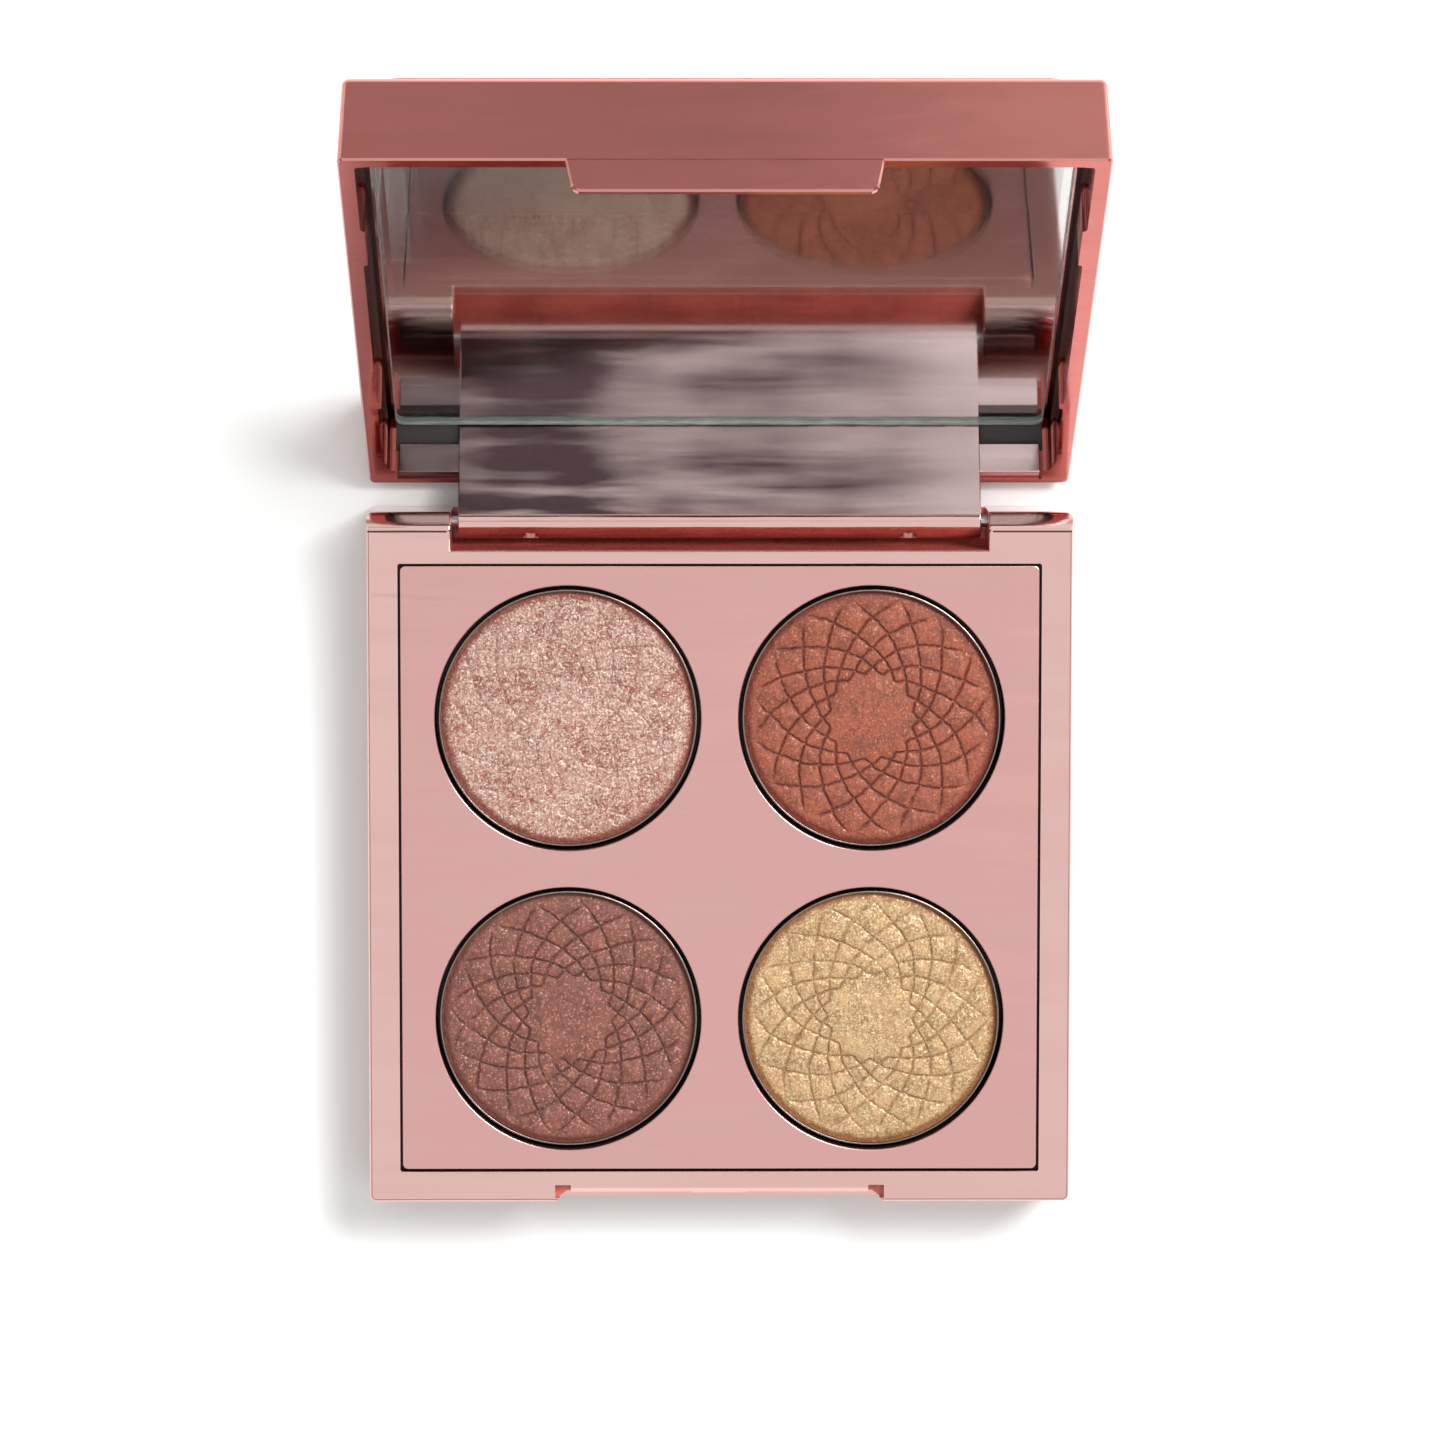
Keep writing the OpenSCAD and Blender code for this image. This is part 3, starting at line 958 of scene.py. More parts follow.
@dataclass
class BaseCase:
    """The casing of the base: a tray with a frame, two hinge ears and a latch notch."""

    layout: Layout
    roll: float = 0.45
    ear_roll: float = 2.0
    floor: float = 1.2
    ledge: float = 1.5
    ledge_z: float = 8.55
    recess_half: float = 27.2
    recess_y: float = 31.5
    recess_z: float = 2.2
    recess_radius: float = 3.0
    pin_y: float = 34.1
    pin_z: float = 5.2
    pin_radius: float = 0.6
    notch_half: float = 16.8
    notch_depth: float = 1.0
    notch_height: float = 3.6
    pocket: Triple = (1.2, 1.75, 1.4)
    catch_half: float = 2.9
    catch_z: float = 8.15
    post_radius: float = 2.4
    post_top: float = 4.15

    def build(self, material: bpy.types.Material, gap_shade: bpy.types.Material,
              deep: bpy.types.Material) -> None:
        """Models the casing and sets it down."""
        casing = self.body()
        self.open_top(casing)
        self.hinge_recess(casing)
        self.latch_notch(casing)
        self.underside(casing)
        # Material 1 is the near-black painted shade of the gaps, the crease and the faces below the insert.
        casing.smooth().paint(1, self.gets_gap_shade).paint(2, self.gets_recess_shade)
        # Material 2 is the darker red painted shade of the hinge recess and the notch pockets.
        casing.deliver("base", "rose_casing", [material, gap_shade, deep], "base_shell")

    def gets_recess_shade(self, middle: Vector, normal: Vector) -> bool:
        """Says whether a face lies in the hinge recess or in an end pocket of the notch, which get the darker red
        painted shade.
        """
        front = -self.layout.depth / 2
        recess = (abs(middle.x) < self.recess_half + 0.05
                  and self.recess_y - 0.05 < middle.y < self.layout.depth / 2 - 0.05)
        wide, deep, _ = self.pocket
        pocket = (self.notch_half - wide - 0.05 < abs(middle.x) < self.notch_half + 0.05
                  and front + 0.9 < middle.y < front + deep + 0.05)
        return (recess or pocket) and 0.5 < middle.z < self.layout.height - 0.15

    def gets_gap_shade(self, middle: Vector, normal: Vector) -> bool:
        """Says whether a face lies below the insert or in a crease, which get the near-black painted shade."""
        plan = self.layout
        inside = (abs(middle.x) < plan.open_half + 0.05
                  and plan.open_front - 0.05 < middle.y < plan.open_rear + 0.05)
        crease = (plan.depth / 2 - self.ear_roll < middle.y < plan.depth / 2 - self.ear_roll + 0.25
                  and plan.height - 0.2 < middle.z < plan.height - 0.02 and abs(middle.x) < plan.width / 2 - 0.1)
        return crease or (inside and self.floor - 0.1 < middle.z < plan.height - 0.2)

    def body(self) -> Piece:
        """Models the outer block, rolled along its edges, with the large rear edge the lid turns past."""
        plan = self.layout
        front, rear = -plan.depth / 2, plan.depth / 2
        block = Piece.plate("casing_base", plan.width / 2, (front, rear), (0.0, plan.height), plan.corner, 10)
        block.bevel(lambda middle, way: near(middle.z, plan.height) or near(middle.z, 0.0), self.roll, 5)
        back = Piece.box("rear_roll", (-40.0, front - 5.0, -5.0), (40.0, rear, plan.height))
        back.bevel(lambda middle, way: near(middle.y, rear) and near(middle.z, plan.height), self.ear_roll, 20)
        return block.combine("INTERSECT", back)

    def open_top(self, casing: Piece) -> None:
        """Cuts the insert's opening and the room below it."""
        plan = self.layout
        opening = Piece.plate("opening", plan.open_half, (plan.open_front, plan.open_rear),
                              (self.ledge_z, plan.height + 2.0), 0.25, 5)
        casing.cut(opening)
        casing.bevel(lambda middle, way: near(middle.z, plan.height) and abs(middle.x) < plan.open_half + 0.1
                     and plan.open_front - 0.1 < middle.y < plan.open_rear + 0.1, 0.17, 1)
        room = Piece.plate("room", plan.open_half - self.ledge,
                           (plan.open_front + self.ledge, plan.open_rear - self.ledge),
                           (self.floor, plan.height + 1.0), 0.25, 3)
        casing.cut(room)
        casing.add(Piece.rod("post", (0.0, plan.well_y, (self.post_top + self.floor) / 2 - 0.1),
                             self.post_radius, self.post_top - self.floor + 0.2))

    def hinge_recess(self, casing: Piece) -> None:
        """Cuts the recess between the ears, softens its edges and drills the ears for the pins."""
        plan = self.layout
        rear = plan.depth / 2
        recess = Piece.box("recess", (-self.recess_half, self.recess_y, self.recess_z),
                           (self.recess_half, rear + 4.0, plan.height + 2.0))
        recess.bevel(lambda middle, way: near(middle.y, self.recess_y) and near(middle.z, self.recess_z),
                     self.recess_radius, 24)
        casing.cut(recess)

        def on_lip(middle: Vector, way: Vector) -> bool:
            """Says whether an edge bounds the recess on the outside of the casing."""
            inside = abs(middle.x) < self.recess_half + 0.02 and middle.y > self.recess_y - 0.02
            upper = middle.z > self.pin_z + 0.1
            outer = upper and (near(middle.z, plan.height) or middle.y > rear - self.ear_roll + 0.01)
            return inside and outer and not (abs(way.z) > 0.99 and middle.y < rear - 0.05)

        casing.bevel(on_lip, 0.22, 4)
        crease = Piece.box("crease", (self.recess_half + 0.4, rear - self.ear_roll + 0.02, plan.height - 0.14),
                           (40.0, rear - self.ear_roll + 0.20, plan.height + 1.0))
        casing.cut(crease.flipped("crease_left"), crease)
        casing.cut(Piece.rod("pin_holes", (0.0, self.pin_y, self.pin_z), self.pin_radius,
                             plan.width + 2.0, "X", 32))

    def latch_notch(self, casing: Piece) -> None:
        """Cuts the shallow notch for the tongue, its end pockets and the catch rib."""
        plan = self.layout
        front = -plan.depth / 2
        wide, deep, low = self.pocket
        inner = self.notch_half - wide
        notch = Piece.box("notch", (-inner, front - 1.0, plan.height - self.notch_height),
                          (inner, front + self.notch_depth, plan.height + 1.0))
        pocket = Piece.box("pocket", (inner - 0.4, front + 0.4, plan.height - low),
                           (self.notch_half, front + deep, plan.height + 1.0))
        flare = Piece.box("flare", (inner - 0.4, front - 1.0, plan.height - self.notch_height),
                          (self.notch_half, front + self.notch_depth, plan.height + 1.0))
        flare.slice((self.notch_half, front + 0.05, 0.0), (0.62, 0.78, 0.0))
        for cutter in (pocket, flare):
            notch.add(cutter.flipped(f"{cutter.obj.name}_left"), cutter)
        casing.cut(notch)
        casing.bevel(lambda middle, way: near(middle.y, front + self.notch_depth) and near(middle.z, plan.height)
                     and abs(way.x) > 0.9 and abs(middle.x) < inner, 0.45, 1)
        rib = Piece.box("catch", (-self.catch_half, front + self.notch_depth - 0.3, self.catch_z - 0.45),
                        (self.catch_half, front + self.notch_depth + 0.2, self.catch_z + 0.45))
        rib.bevel(lambda middle, way: abs(way.x) > 0.9 and middle.y < front + self.notch_depth, 0.28, 4)
        casing.add(rib)

    def underside(self, casing: Piece) -> None:
        """Cuts the shallow recess for the label."""
        casing.cut(Piece.plate("label_recess", 21.3, (9.7, 26.3), (-1.0, 0.25), 1.0, 5))


@dataclass
class InsertTray:
    """The plate that closes the base, with a round cup for each pan."""

    layout: Layout
    gap: float = 0.2
    thickness: float = 1.18
    corner: float = 0.6
    well_low: float = 5.45
    cup_low: float = 4.65
    cup_wall: float = 0.7

    def build(self, material: bpy.types.Material, gap_shade: bpy.types.Material) -> None:
        """Models the insert and sets it down."""
        plan = self.layout
        top = plan.insert_top
        plate = Piece.plate("insert_plate", plan.open_half - self.gap,
                            (plan.open_front + self.gap, plan.open_rear - self.gap),
                            (top - self.thickness, top), self.corner, 10)
        plate.bevel(lambda middle, way: near(middle.z, top), 0.14, 3)
        for powder in Powder:
            x, y, _ = plan.pan_centre(powder)
            height = top - 0.3 - self.cup_low
            plate.add(Piece.rod("cup", (x, y, self.cup_low + height / 2), plan.well_radius + self.cup_wall,
                                height, sides=96))
        for powder in Powder:
            plate.cut(Piece.lathe("well", [
                (0.0, 0.0), (plan.well_radius, 0.0), (plan.well_radius, top - self.well_low - 0.16),
                (plan.well_radius + 0.03, top - self.well_low - 0.07),
                (plan.well_radius + 0.09, top - self.well_low - 0.02),
                (plan.well_radius + 0.17, top - self.well_low + 0.01),
                (plan.well_radius + 0.17, top - self.well_low + 1.0), (0.0, top - self.well_low + 1.0)],
                (*plan.pan_centre(powder)[:2], self.well_low), 128))
        # The walls of the wells and the underside get the near-black painted shade of the gaps round the pans.
        plate.smooth(40.0).paint(1, lambda middle, normal: middle.z < top - 0.17)
        plate.deliver("base", "rose_insert", [material, gap_shade], "insert_tray")


@dataclass
class PanSet:
    """The four drawn metal pans."""

    layout: Layout
    wall: float = 0.2

    def build(self, material: bpy.types.Material) -> None:
        """Models one pan and copies it to the four places."""
        plan = self.layout
        outer, high = plan.pan_radius, plan.pan_high - plan.pan_low
        inner = outer - self.wall
        outline = [(0.0, 0.0), (outer - 0.35, 0.0), (outer - 0.1, 0.1), (outer, 0.35), (outer, high - 0.1),
                   (outer - 0.02, high - 0.03), (outer - 0.07, high), (inner + 0.06, high),
                   (inner + 0.02, high - 0.03), (inner, high - 0.1), (inner, self.wall), (0.0, self.wall)]
        model = Piece.lathe("pan_model", outline, (0.0, 0.0, plan.pan_low), 160)
        for powder in Powder:
            pan = model.twin(f"pan_{powder.title}_drawn", plan.pan_centre(powder))
            pan.smooth(40.0).deliver("base", "pan_metal", [material], f"pan_{powder.title}")
        bpy.data.objects.remove(model.obj)


@dataclass
class PowderSet:
    """The four pressed powders, embossed with a lattice of crossing petals round a plain centre."""

    layout: Layout
    radius: float = 12.9
    low: float = 5.8
    edge: float = 8.92
    crown: float = 0.20
    rings: int = 150
    steps: int = 600
    petals: int = 16
    petal_start: float = 0.33
    petal_sweep: float = 1.06
    petal_tip: float = 0.055
    groove_width: float = 0.17
    groove_depth: float = 0.2
    pillow: float = 0.12
    seed: int = 11
    finishes: dict = field(default_factory=dict)

    def build(self) -> None:
        """Models one blank cake and presses each powder's pattern into a copy."""
        blank = self.blank()
        chance = random.Random(self.seed)
        for powder in Powder:
            cake = blank.twin(f"powder_{powder.title}_pressed", (0.0, 0.0, 0.0))
            drift = Vector((chance.uniform(0, 50), chance.uniform(0, 50), chance.uniform(0, 50)))
            self.press(cake, powder, drift, chance.uniform(0.0, 1.0))
            cake.smooth(60.0, weighted=False)
            cake.deliver("base", f"powder_{powder.title}", [POWDER_FINISH[powder].make()],
                         f"powder_{powder.title}",
                         placing=Matrix.Translation(self.layout.pan_centre(powder)))
        bpy.data.objects.remove(blank.obj)

    def blank(self) -> Piece:
        """Turns a plain cake with a fine net of faces on its top."""
        top = [(self.radius * index / self.rings, self.edge - self.low) for index in range(self.rings + 1)]
        outline = [(0.0, 0.0), *top, (self.radius, 0.4), (self.radius - 0.4, 0.0)]
        return Piece.lathe("powder_blank", outline, (0.0, 0.0, self.low), self.steps)

    def groove_gap(self, x: float, y: float, turn: float) -> float:
        """Gives how far a point is from the nearest groove of the pressed lattice.

        The grooves are petals that start round the plain centre and open outwards on both sides as
        spirals, so that neighbouring petals cross.

        Args:
            x: Its place from the middle, as a share of the radius.
            y: The same in Y.
            turn: How far the pattern is turned, as a share of one petal.

        Returns:
            The distance, as a share of the radius.
        """
        far = math.hypot(x, y)
        if far < self.petal_start * 0.7:
            return 1.0
        out = math.log(far / self.petal_start)
        step = 2 * math.pi / self.petals
        place = math.atan2(y, x) / step + turn
        first = math.floor(place)
        best = 1.0
        for petal in range(first - self.petals // 4, first + self.petals // 4 + 2):
            swing = (place - petal) * step / self.petal_sweep
            spine = math.hypot(self.petal_tip, swing)
            slope = swing / (spine * self.petal_sweep)
            best = min(best, far * abs(out - spine + self.petal_tip) / math.hypot(1.0, slope))
        return best

    def press(self, cake: Piece, powder: Powder, drift: Vector, turn: float) -> None:
        """Moves the cake's points into the pressed relief and records the grooves, which carry painted shade, and
        the rim.

        Args:
            cake: The copy of the blank.
            powder: The shade.
            drift: Where in the noise this cake is sampled.
            turn: How far the pattern is turned, as a share of one petal.
        """
        mesh = cake.obj.data
        grooves = mesh.attributes.new("groove", "FLOAT", "POINT")
        rims = mesh.attributes.new("rim", "FLOAT", "POINT")
        crisp = powder.crisp
        for index, vertex in enumerate(mesh.vertices):
            x, y, z = vertex.co
            if z < self.edge - 0.01:
                continue
            far = math.hypot(x, y) / self.radius
            spot = Vector((x, y, 0.0)) + drift
            warp = (noise.noise_vector(spot * 0.16) * 0.5 + noise.noise_vector(spot * 0.6) * 0.14
                    + noise.noise_vector(spot * 2.0) * 0.10)
            gap = self.radius * self.groove_gap((x + warp.x) / self.radius, (y + warp.y) / self.radius, turn)
            groove = 1.0 - smooth_step(gap, 0.0, self.groove_width)
            flank = 1.0 - smooth_step(gap, 0.0, 4.0 * self.groove_width)
            worn = noise.noise(spot * 0.22) * 0.35 + noise.noise(spot * 1.1) * 0.3 + 0.5
            keep = crisp * smooth_step(worn + (crisp - 0.5) * 0.6, 0.15, 0.7)
            keep *= 1.0 - smooth_step(far + noise.noise(spot * 0.5) * 0.05, 0.86, 0.97)
            crumb = noise.noise(spot * 2.1) * 0.5 + noise.noise(spot * 5.3) * 0.3
            ragged = far + noise.noise(spot * 0.9) * 0.012 + noise.noise(spot * 3.2) * 0.006
            slump = smooth_step(ragged, 0.95, 1.0)
            rise = self.crown * (1.0 - far * far) + crumb * (0.09 - 0.055 * crisp)
            rise += keep * (self.pillow * smooth_step(gap, 0.0, 1.1) - groove * self.groove_depth)
            rise -= slump * 0.18
            vertex.co.z = z + rise
            # The groove mark drives the painted shade in the grooves.
            grooves.data[index].value = (0.7 * groove + 0.3 * flank) * keep
            rims.data[index].value = smooth_step(ragged, 0.86, 1.0)


# ---------------------------------------------------------------- lid


@dataclass
class Lid:
    """The lid, modelled shut about its hinge line: casing, frame with hinge barrel, and mirror."""

    half: float = 35.75
    front: float = -69.4
    rear: float = 1.2
    rim: float = 4.8
    top: float = 13.5
    corner: float = 0.7
    draft: float = 0.35
    edge: float = 0.7
    slope_start: tuple[float, float] = (1.2, 8.0)
    slope_end: tuple[float, float] = (-1.9, 13.5)
    rim_side: float = 2.0
    wall_front: float = 1.45
    wall_top: float = 1.2
    block_y: float = -1.1
    slot_half: float = 32.95
    mirror_depth: float = 5.1
    tongue_half: float = 14.75
    tongue_height: float = 3.2
    tongue_thick: float = 0.85
    barrel_radius: float = 1.72
    barrel_half: float = 26.55
    mirror_half: float = 33.0
    mirror_front: float = -67.7
    mirror_rear: float = -1.92
    hinge: Triple = (0.0, 34.1, 5.2)
    opened: float = 119.0

    @property
    def placing(self) -> Matrix:
        """The turn about the hinge line that opens the lid."""
        return Matrix.Translation(self.hinge) @ Matrix.Rotation(math.radians(-self.opened), 4, "X")

    @property
    def slope(self) -> tuple[Triple, Triple]:
        """A point and the outward normal of the sloping rear face."""
        rise = self.slope_end[1] - self.slope_start[1]
        back = self.slope_start[0] - self.slope_end[0]
        size = math.hypot(rise, back)
        return (0.0, *self.slope_start), (0.0, rise / size, back / size)

    def build_casing(self, material: bpy.types.Material, gap_shade: bpy.types.Material,
                     rim: bpy.types.Material) -> None:
        """Models the lid's casing and sets it down."""
        shell = Piece.plate("casing_lid", self.half, (self.front, self.rear), (self.rim, self.top),
                            self.corner, 10)
        shell.taper(lambda point: near(point.z, self.top), ((self.half - self.draft) / self.half, 1.0, 1.0),
                    (0.0, 0.0, self.top))
        shell.bevel(lambda middle, way: near(middle.z, self.top), self.edge, 6)
        shell.bevel(lambda middle, way: near(middle.z, self.rim), 0.18, 1)
        shell.slice(*self.slope)
        shell.cut(*self.hollow())
        shell.cut(Piece.plate("cover_seat", 33.15, (self.front + 0.85, -4.85), (self.top - 0.4, self.top + 1.0),
                              3.0, 10))
        inner = self.half - self.rim_side

        def on_inner_rim(middle: Vector, way: Vector) -> bool:
            """Says whether an edge bounds the hollow at the rim."""
            return (near(middle.z, self.rim) and abs(middle.x) < inner + 0.5
                    and middle.y > self.front + 1.0 and abs(way.z) < 0.5)

        shell.bevel(on_inner_rim, 0.12, 3)
        shell.add(self.tongue())
        # Material 2 is the darker painted shade of the rim and inner walls, material 1 the near-black painted shade
        # of the gaps.
        shell.smooth(25.0).paint(2, self.is_rim).paint(1, self.gets_gap_shade)
        shell.deliver("lid", "rose_casing", [material, gap_shade, rim], "lid_shell", placing=self.placing)

    def is_slope(self, middle: Vector, normal: Vector) -> bool:
        """Says whether a face lies on the sloping rear face."""
        return normal.y > 0.8 and normal.z > 0.4 and middle.z > self.slope_start[1] - 0.1

    def is_rim(self, middle: Vector, normal: Vector) -> bool:
        """Says whether a face belongs to the rim or to the walls inside it, which get the darker painted shade of
        the lid's plating.
        """
        if self.is_slope(middle, normal):
            return False
        inside = abs(middle.x) < self.half - 0.5 and middle.y > self.front + 0.9 and middle.z < self.top - 1.0
        return (normal.z < -0.7 and near(middle.z, self.rim, 0.05)) or (inside and middle.y < self.rear - 0.3)

    def gets_gap_shade(self, middle: Vector, normal: Vector) -> bool:
        """Says whether a face lies in the gap behind the mirror or beside the hinge wall, which get the near-black
        painted shade.
        """
        if self.is_slope(middle, normal):
            return False
        behind = self.rim + self.mirror_depth - 0.1 < middle.z < self.top - self.wall_top + 0.1
        beside = middle.y > self.block_y - 0.05 and middle.z > self.rim + 2.5 and middle.y < self.rear - 0.9
        inside = abs(middle.x) < self.half - self.rim_side + 0.5 and middle.y > self.front + 1.0
        return inside and (behind or beside) and normal.z < 0.5

    def hollow(self) -> list[Piece]:
        """Gives the cutters of the lid's inside."""
        inner = self.half - self.rim_side
        front = self.front + self.wall_front
        low, high = self.rim - 1.0, self.top - self.wall_top
        cutters = [Piece.plate("hollow", inner, (front, self.mirror_rear + 0.1), (low, high), 0.8, 6)]
        for start, end in ((front + 0.1, -55.0), (-48.0, -17.5), (-16.5, -3.5)):
            cutters.append(Piece.plate("pocket", inner + 0.4, (start, end), (low, self.rim + self.mirror_depth),
                                       0.4, 4))
        inside = Piece.box("rear_inside", (-self.slot_half, self.block_y - 1.0, low),
                           (self.slot_half, self.rear - 1.0, high))
        point, normal = self.slope
        inside.slice((0.0, point[1] - 1.0, point[2]), normal)
        cutters.append(inside)
        cutters.append(Piece.box("web_slot", (-self.barrel_half - 0.1, self.block_y - 1.0, low),
                                 (self.barrel_half + 0.1, self.rear + 1.0, high)))
        return cutters

    def tongue(self) -> Piece:
        """Models the latch tongue that hangs from the front wall."""
        low = self.rim - self.tongue_height
        tongue = Piece.box("tongue", (-self.tongue_half, self.front, low),
                           (self.tongue_half, self.front + self.tongue_thick, self.rim + 0.2))
        tongue.taper(lambda point: near(point.z, low), (0.9525, 1.0, 1.0), (0.0, 0.0, low))
        tongue.bevel(lambda middle, way: near(middle.z, low) and abs(way.y) > 0.9, 0.8, 6)
        tongue.bevel(lambda middle, way: middle.z < self.rim + 0.1 and abs(way.y) < 0.5
                     and (near(middle.y, self.front) or near(middle.y, self.front + self.tongue_thick)), 0.2, 1)
        tongue.cut(Piece.box("tongue_line", (-20.0, self.front - 1.0, self.rim + 0.02),
                             (20.0, self.front + 0.1, self.rim + 0.12)))
        tongue.cut(Piece.box("hook", (-3.3, self.front + 0.45, low + 0.75), (3.3, self.front + 3.0, self.rim)))
        return tongue

    def build_frame(self, material: bpy.types.Material, rose: bpy.types.Material) -> None:
        """Models the frame that carries the mirror and turns on the pins."""
        plate_low, plate_high = self.rim + self.mirror_depth + 1.45, self.top - self.wall_top - 0.02
        frame = Piece.plate("lid_frame_plate", self.mirror_half + 0.4, (self.front + 1.6, self.block_y - 1.2),
                            (plate_low, plate_high), 0.6, 4)
        web = Piece.box("web", (-self.barrel_half, -self.barrel_radius, 0.0),
                        (self.barrel_half, self.rear - 0.05, plate_high))
        point, normal = self.slope
        web.slice((0.0, point[1] - 0.05, point[2]), normal)
        web.bevel(lambda middle, way: abs(way.z) > 0.9 and middle.y < -1.0, 0.12, 3)
        frame.add(web)
        frame.add(Piece.box("link", (-self.barrel_half + 1.0, self.block_y - 1.6, plate_low),
                            (self.barrel_half - 1.0, -self.barrel_radius + 0.3, plate_high)))
        ledge = Piece.box("ledge", (self.barrel_half - 0.3, self.block_y, self.rim + 0.25),
                          (32.7, self.rear - 1.1, self.rim + 3.4))
        ledge.bevel(lambda middle, way: middle.x > self.barrel_half + 0.1 and middle.y < 0.0, 0.14, 3)
        other = ledge.flipped("ledge_left")
        frame.add(ledge, other)
        barrel = Piece.rod("barrel", (0.0, 0.0, 0.0), self.barrel_radius, 2 * self.barrel_half, "X", 64)
        barrel.slice((0.0, self.rear - 0.05, 0.0), (0.0, 1.0, 0.0))
        barrel.bevel(lambda middle, way: near(abs(middle.x), self.barrel_half), 0.12, 3)
        frame.add(barrel)
        for side in (-1.0, 1.0):
            dimple = Piece.rod("dimple", (side * 19.2, 0.0, -self.barrel_radius), 0.9, 1.0, "Z", 32)
            bore = Piece.rod("bore", (side * (self.barrel_half - 3.2), 0.0, 0.0), 0.65, 6.8, "X", 32)
            frame.cut(dimple, bore)
        frame.smooth(25.0).paint(1, lambda middle, normal: middle.z < 0.05)
        frame.deliver("lid", "rose_casing", [material, rose], "lid_frame", placing=self.placing)

    def build_mirror(self, face: bpy.types.Material, edge: bpy.types.Material) -> None:
        """Models the pane of glass, with a ground arris round both faces."""
        low = self.rim + self.mirror_depth
        pane = Piece.plate("mirror_pane", self.mirror_half, (self.mirror_front, self.mirror_rear),
                           (low, low + 1.2), 1.0, 6)
        pane.bevel(lambda middle, way: near(middle.z, low) or near(middle.z, low + 1.2), 0.1, 1)
        pane.smooth(20.0)
        pane.paint(1, lambda middle, normal: abs(normal.z) < 0.95)
        pane.deliver("lid", "mirror_glass", [face, edge], "mirror_glass", placing=self.placing)

    def build_cover(self, material: bpy.types.Material) -> None:
        """Models the raised plate on the outside."""
        cover = Piece.plate("cover_raised", self.mirror_half, (self.front + 1.0, -5.0),
                            (self.top - 0.3, self.top + 0.5), 3.0, 12)
        cover.bevel(lambda middle, way: near(middle.z, self.top + 0.5), 0.25, 4)
        cover.smooth().deliver("lid", "rose_casing", [material], "cover_plate", placing=self.placing)


# ---------------------------------------------------------------- studio


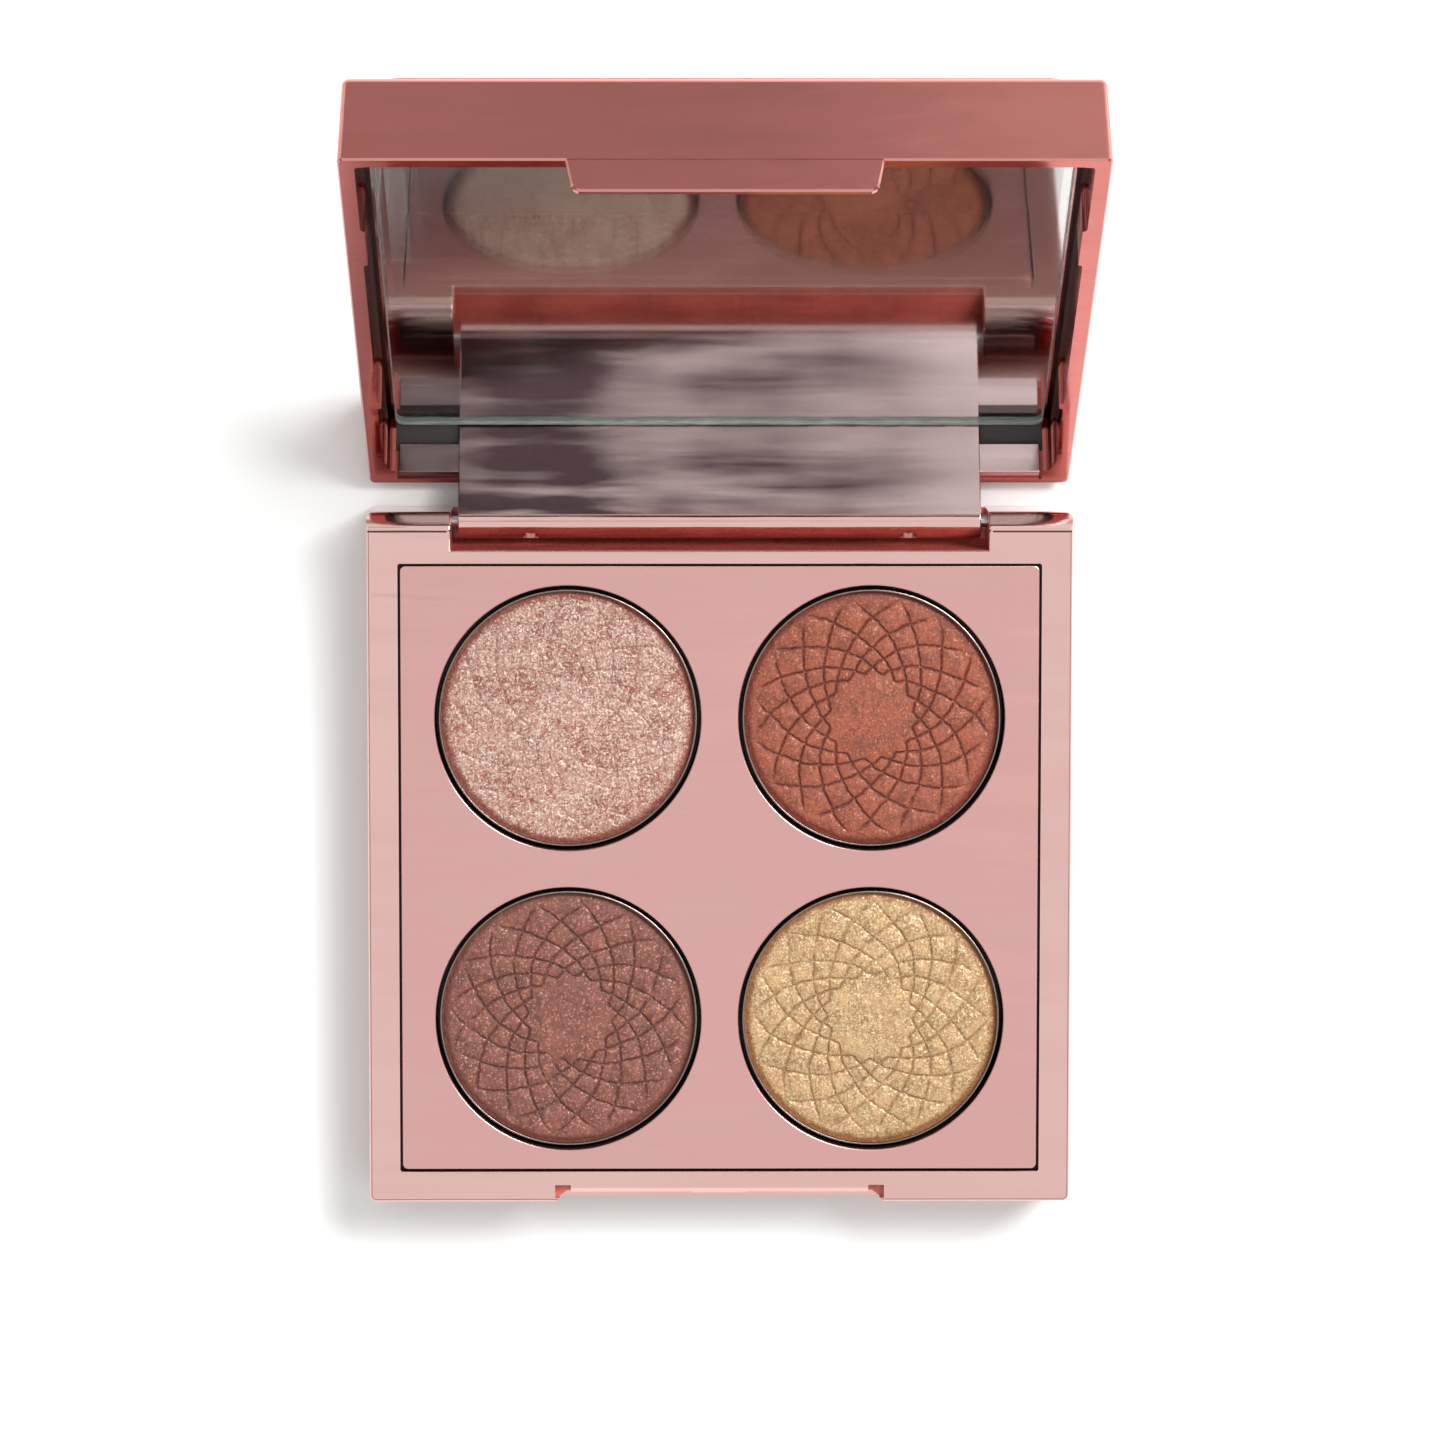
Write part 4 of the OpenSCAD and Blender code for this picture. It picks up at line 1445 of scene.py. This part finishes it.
@dataclass
class Studio:
    """The pale floor, the soft light and the camera."""

    camera_place: Triple = (-5.575, 84.17, 643.04)
    camera_turn: Triple = (-0.11037, -0.009183, 0.000497)
    lens: float = 156.57
    floor_half: float = 3.0

    def build(self) -> None:
        """Builds the whole studio."""
        self.camera()
        self.floor()
        self.surroundings()
        self.key_light()
        bpy.context.scene.view_settings.view_transform = "Standard"
        bpy.context.scene.view_settings.look = "None"

    def camera(self) -> None:
        """Stands the camera almost straight above the palette."""
        data = bpy.data.cameras.new("camera")
        data.lens = self.lens
        data.sensor_width = 36.0
        data.clip_start = 0.01
        data.clip_end = 20.0
        camera = bpy.data.objects.new("camera", data)
        camera.location = [value * MM for value in self.camera_place]
        camera.rotation_euler = self.camera_turn
        bpy.context.scene.collection.objects.link(camera)
        bpy.context.scene.camera = camera

    def floor(self) -> None:
        """Lays a pale floor."""
        clear_selection()
        bpy.ops.mesh.primitive_plane_add(size=2 * self.floor_half, location=(0.0, 0.0, -0.00002))
        floor = bpy.context.active_object
        floor.name = "floor"
        clear_selection()
        floor.select_set(True)
        bpy.ops.object.transform_apply(location=True, rotation=True, scale=True)
        material, recipe = new_recipe("floor_paper")
        tone = recipe.noise(recipe.place(), 0.02, 2.0)
        recipe.surface({"Base Color": recipe.blend(tone, (0.775, 0.80, 0.80), (0.755, 0.78, 0.785)),
                        "Roughness": 0.9, "Specular IOR Level": 0.1})
        floor.data.materials.append(material)

    def surroundings(self) -> None:
        """Makes a room that is bright overhead and dim all round."""
        world = bpy.data.worlds.new("studio_room")
        world.use_nodes = True
        bpy.context.scene.world = world
        recipe = Recipe(world.node_tree)
        where = recipe.node("ShaderNodeTexCoord")
        parts = recipe.node("ShaderNodeSeparateXYZ", {}, {0: Field(recipe, where.outputs["Generated"])})
        height = Field(recipe, parts.outputs["Z"])
        across = Field(recipe, parts.outputs["X"])
        along = Field(recipe, parts.outputs["Y"])
        rear = recipe.blend(recipe.spread(across, -0.03, 0.01), (0.58, 0.49, 0.48), (0.47, 0.41, 0.40))
        rear = recipe.blend(recipe.spread(across, 0.01, 0.06), rear, (0.84, 0.73, 0.71))
        middle = recipe.blend(recipe.spread(along, -0.3, 0.4), (0.55, 0.38, 0.36), rear)
        low = recipe.blend(recipe.spread(height, 0.14, 0.36), (1.40, 1.38, 1.36), middle)
        glow = recipe.blend(recipe.spread(height, 0.60, 0.74), low, (1.10, 1.14, 1.12))
        aside, before = across + 0.05, along - 0.07
        beside = (aside * aside + before * before) ** 0.5
        glow = recipe.blend(recipe.spread(beside, 0.04, 0.13, 1.0, 0.0) * 0.35, glow, (0.12, 0.12, 0.13))
        backdrop = recipe.node("ShaderNodeBackground", {}, {"Color": glow, "Strength": 1.0})
        recipe.node("ShaderNodeOutputWorld", {}, {"Surface": Field(recipe, backdrop.outputs[0])})

    def key_light(self) -> None:
        """Hangs one soft light high on the right, so a soft shadow falls to the left and front."""
        data = bpy.data.lights.new("key", "AREA")
        data.shape = "SQUARE"
        data.size = 0.65
        data.energy = 26.0
        light = bpy.data.objects.new("key", data)
        light.location = (0.60, 0.64, 0.95)
        light.rotation_euler = (Vector((0.0, 0.0, 0.0)) - Vector(light.location)).to_track_quat("-Z", "Y").to_euler()
        bpy.context.scene.collection.objects.link(light)


# ---------------------------------------------------------------- whole


def dress_nodes(nodes: dict[str, bpy.types.Object]) -> None:
    """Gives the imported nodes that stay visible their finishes.

    Args:
        nodes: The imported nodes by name.
    """
    silver, steel, glue = Silvering().make(), PIN_STEEL.make(), GLUE_DRY.make()
    paper, tape = LABEL_PAPER.make(), TAPE_FOAM.make()
    chosen = {"mirror_silver": silver, "hinge_pin_left": steel, "hinge_pin_right": steel,
              "pan_glue": glue, "tray_glue": glue, "base_label": paper, "mirror_tape": tape,
              "cover_tape": tape}
    for name, material in chosen.items():
        dress(nodes[name], material)
        LOG.info("%s: dressed with %s", name, material.name)


def main() -> None:
    """Builds the palette in order, piece by piece."""
    logging.basicConfig(level=logging.INFO, format="%(name)s %(message)s")
    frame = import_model()
    Studio().build()
    layout = Layout()
    rose_lid, gap_shade = ROSE_LID.make(), DarkGapShade().make()
    rose_base = ROSE_BASE.make()
    BaseCase(layout).build(rose_base, gap_shade, RecessShade().make())
    InsertTray(layout).build(ROSE_INSERT.make(), gap_shade)
    PanSet(layout).build(PAN_TIN.make())
    PowderSet(layout).build()
    lid = Lid()
    lid.build_casing(rose_lid, gap_shade, ROSE_RIM.make())
    lid.build_frame(MAUVE_FRAME.make(), rose_base)
    lid.build_mirror(ClearGlass().make(), GroundEdge().make())
    lid.build_cover(rose_lid)
    dress_nodes(frame["nodes"])


if __name__ == "__main__":
    main()
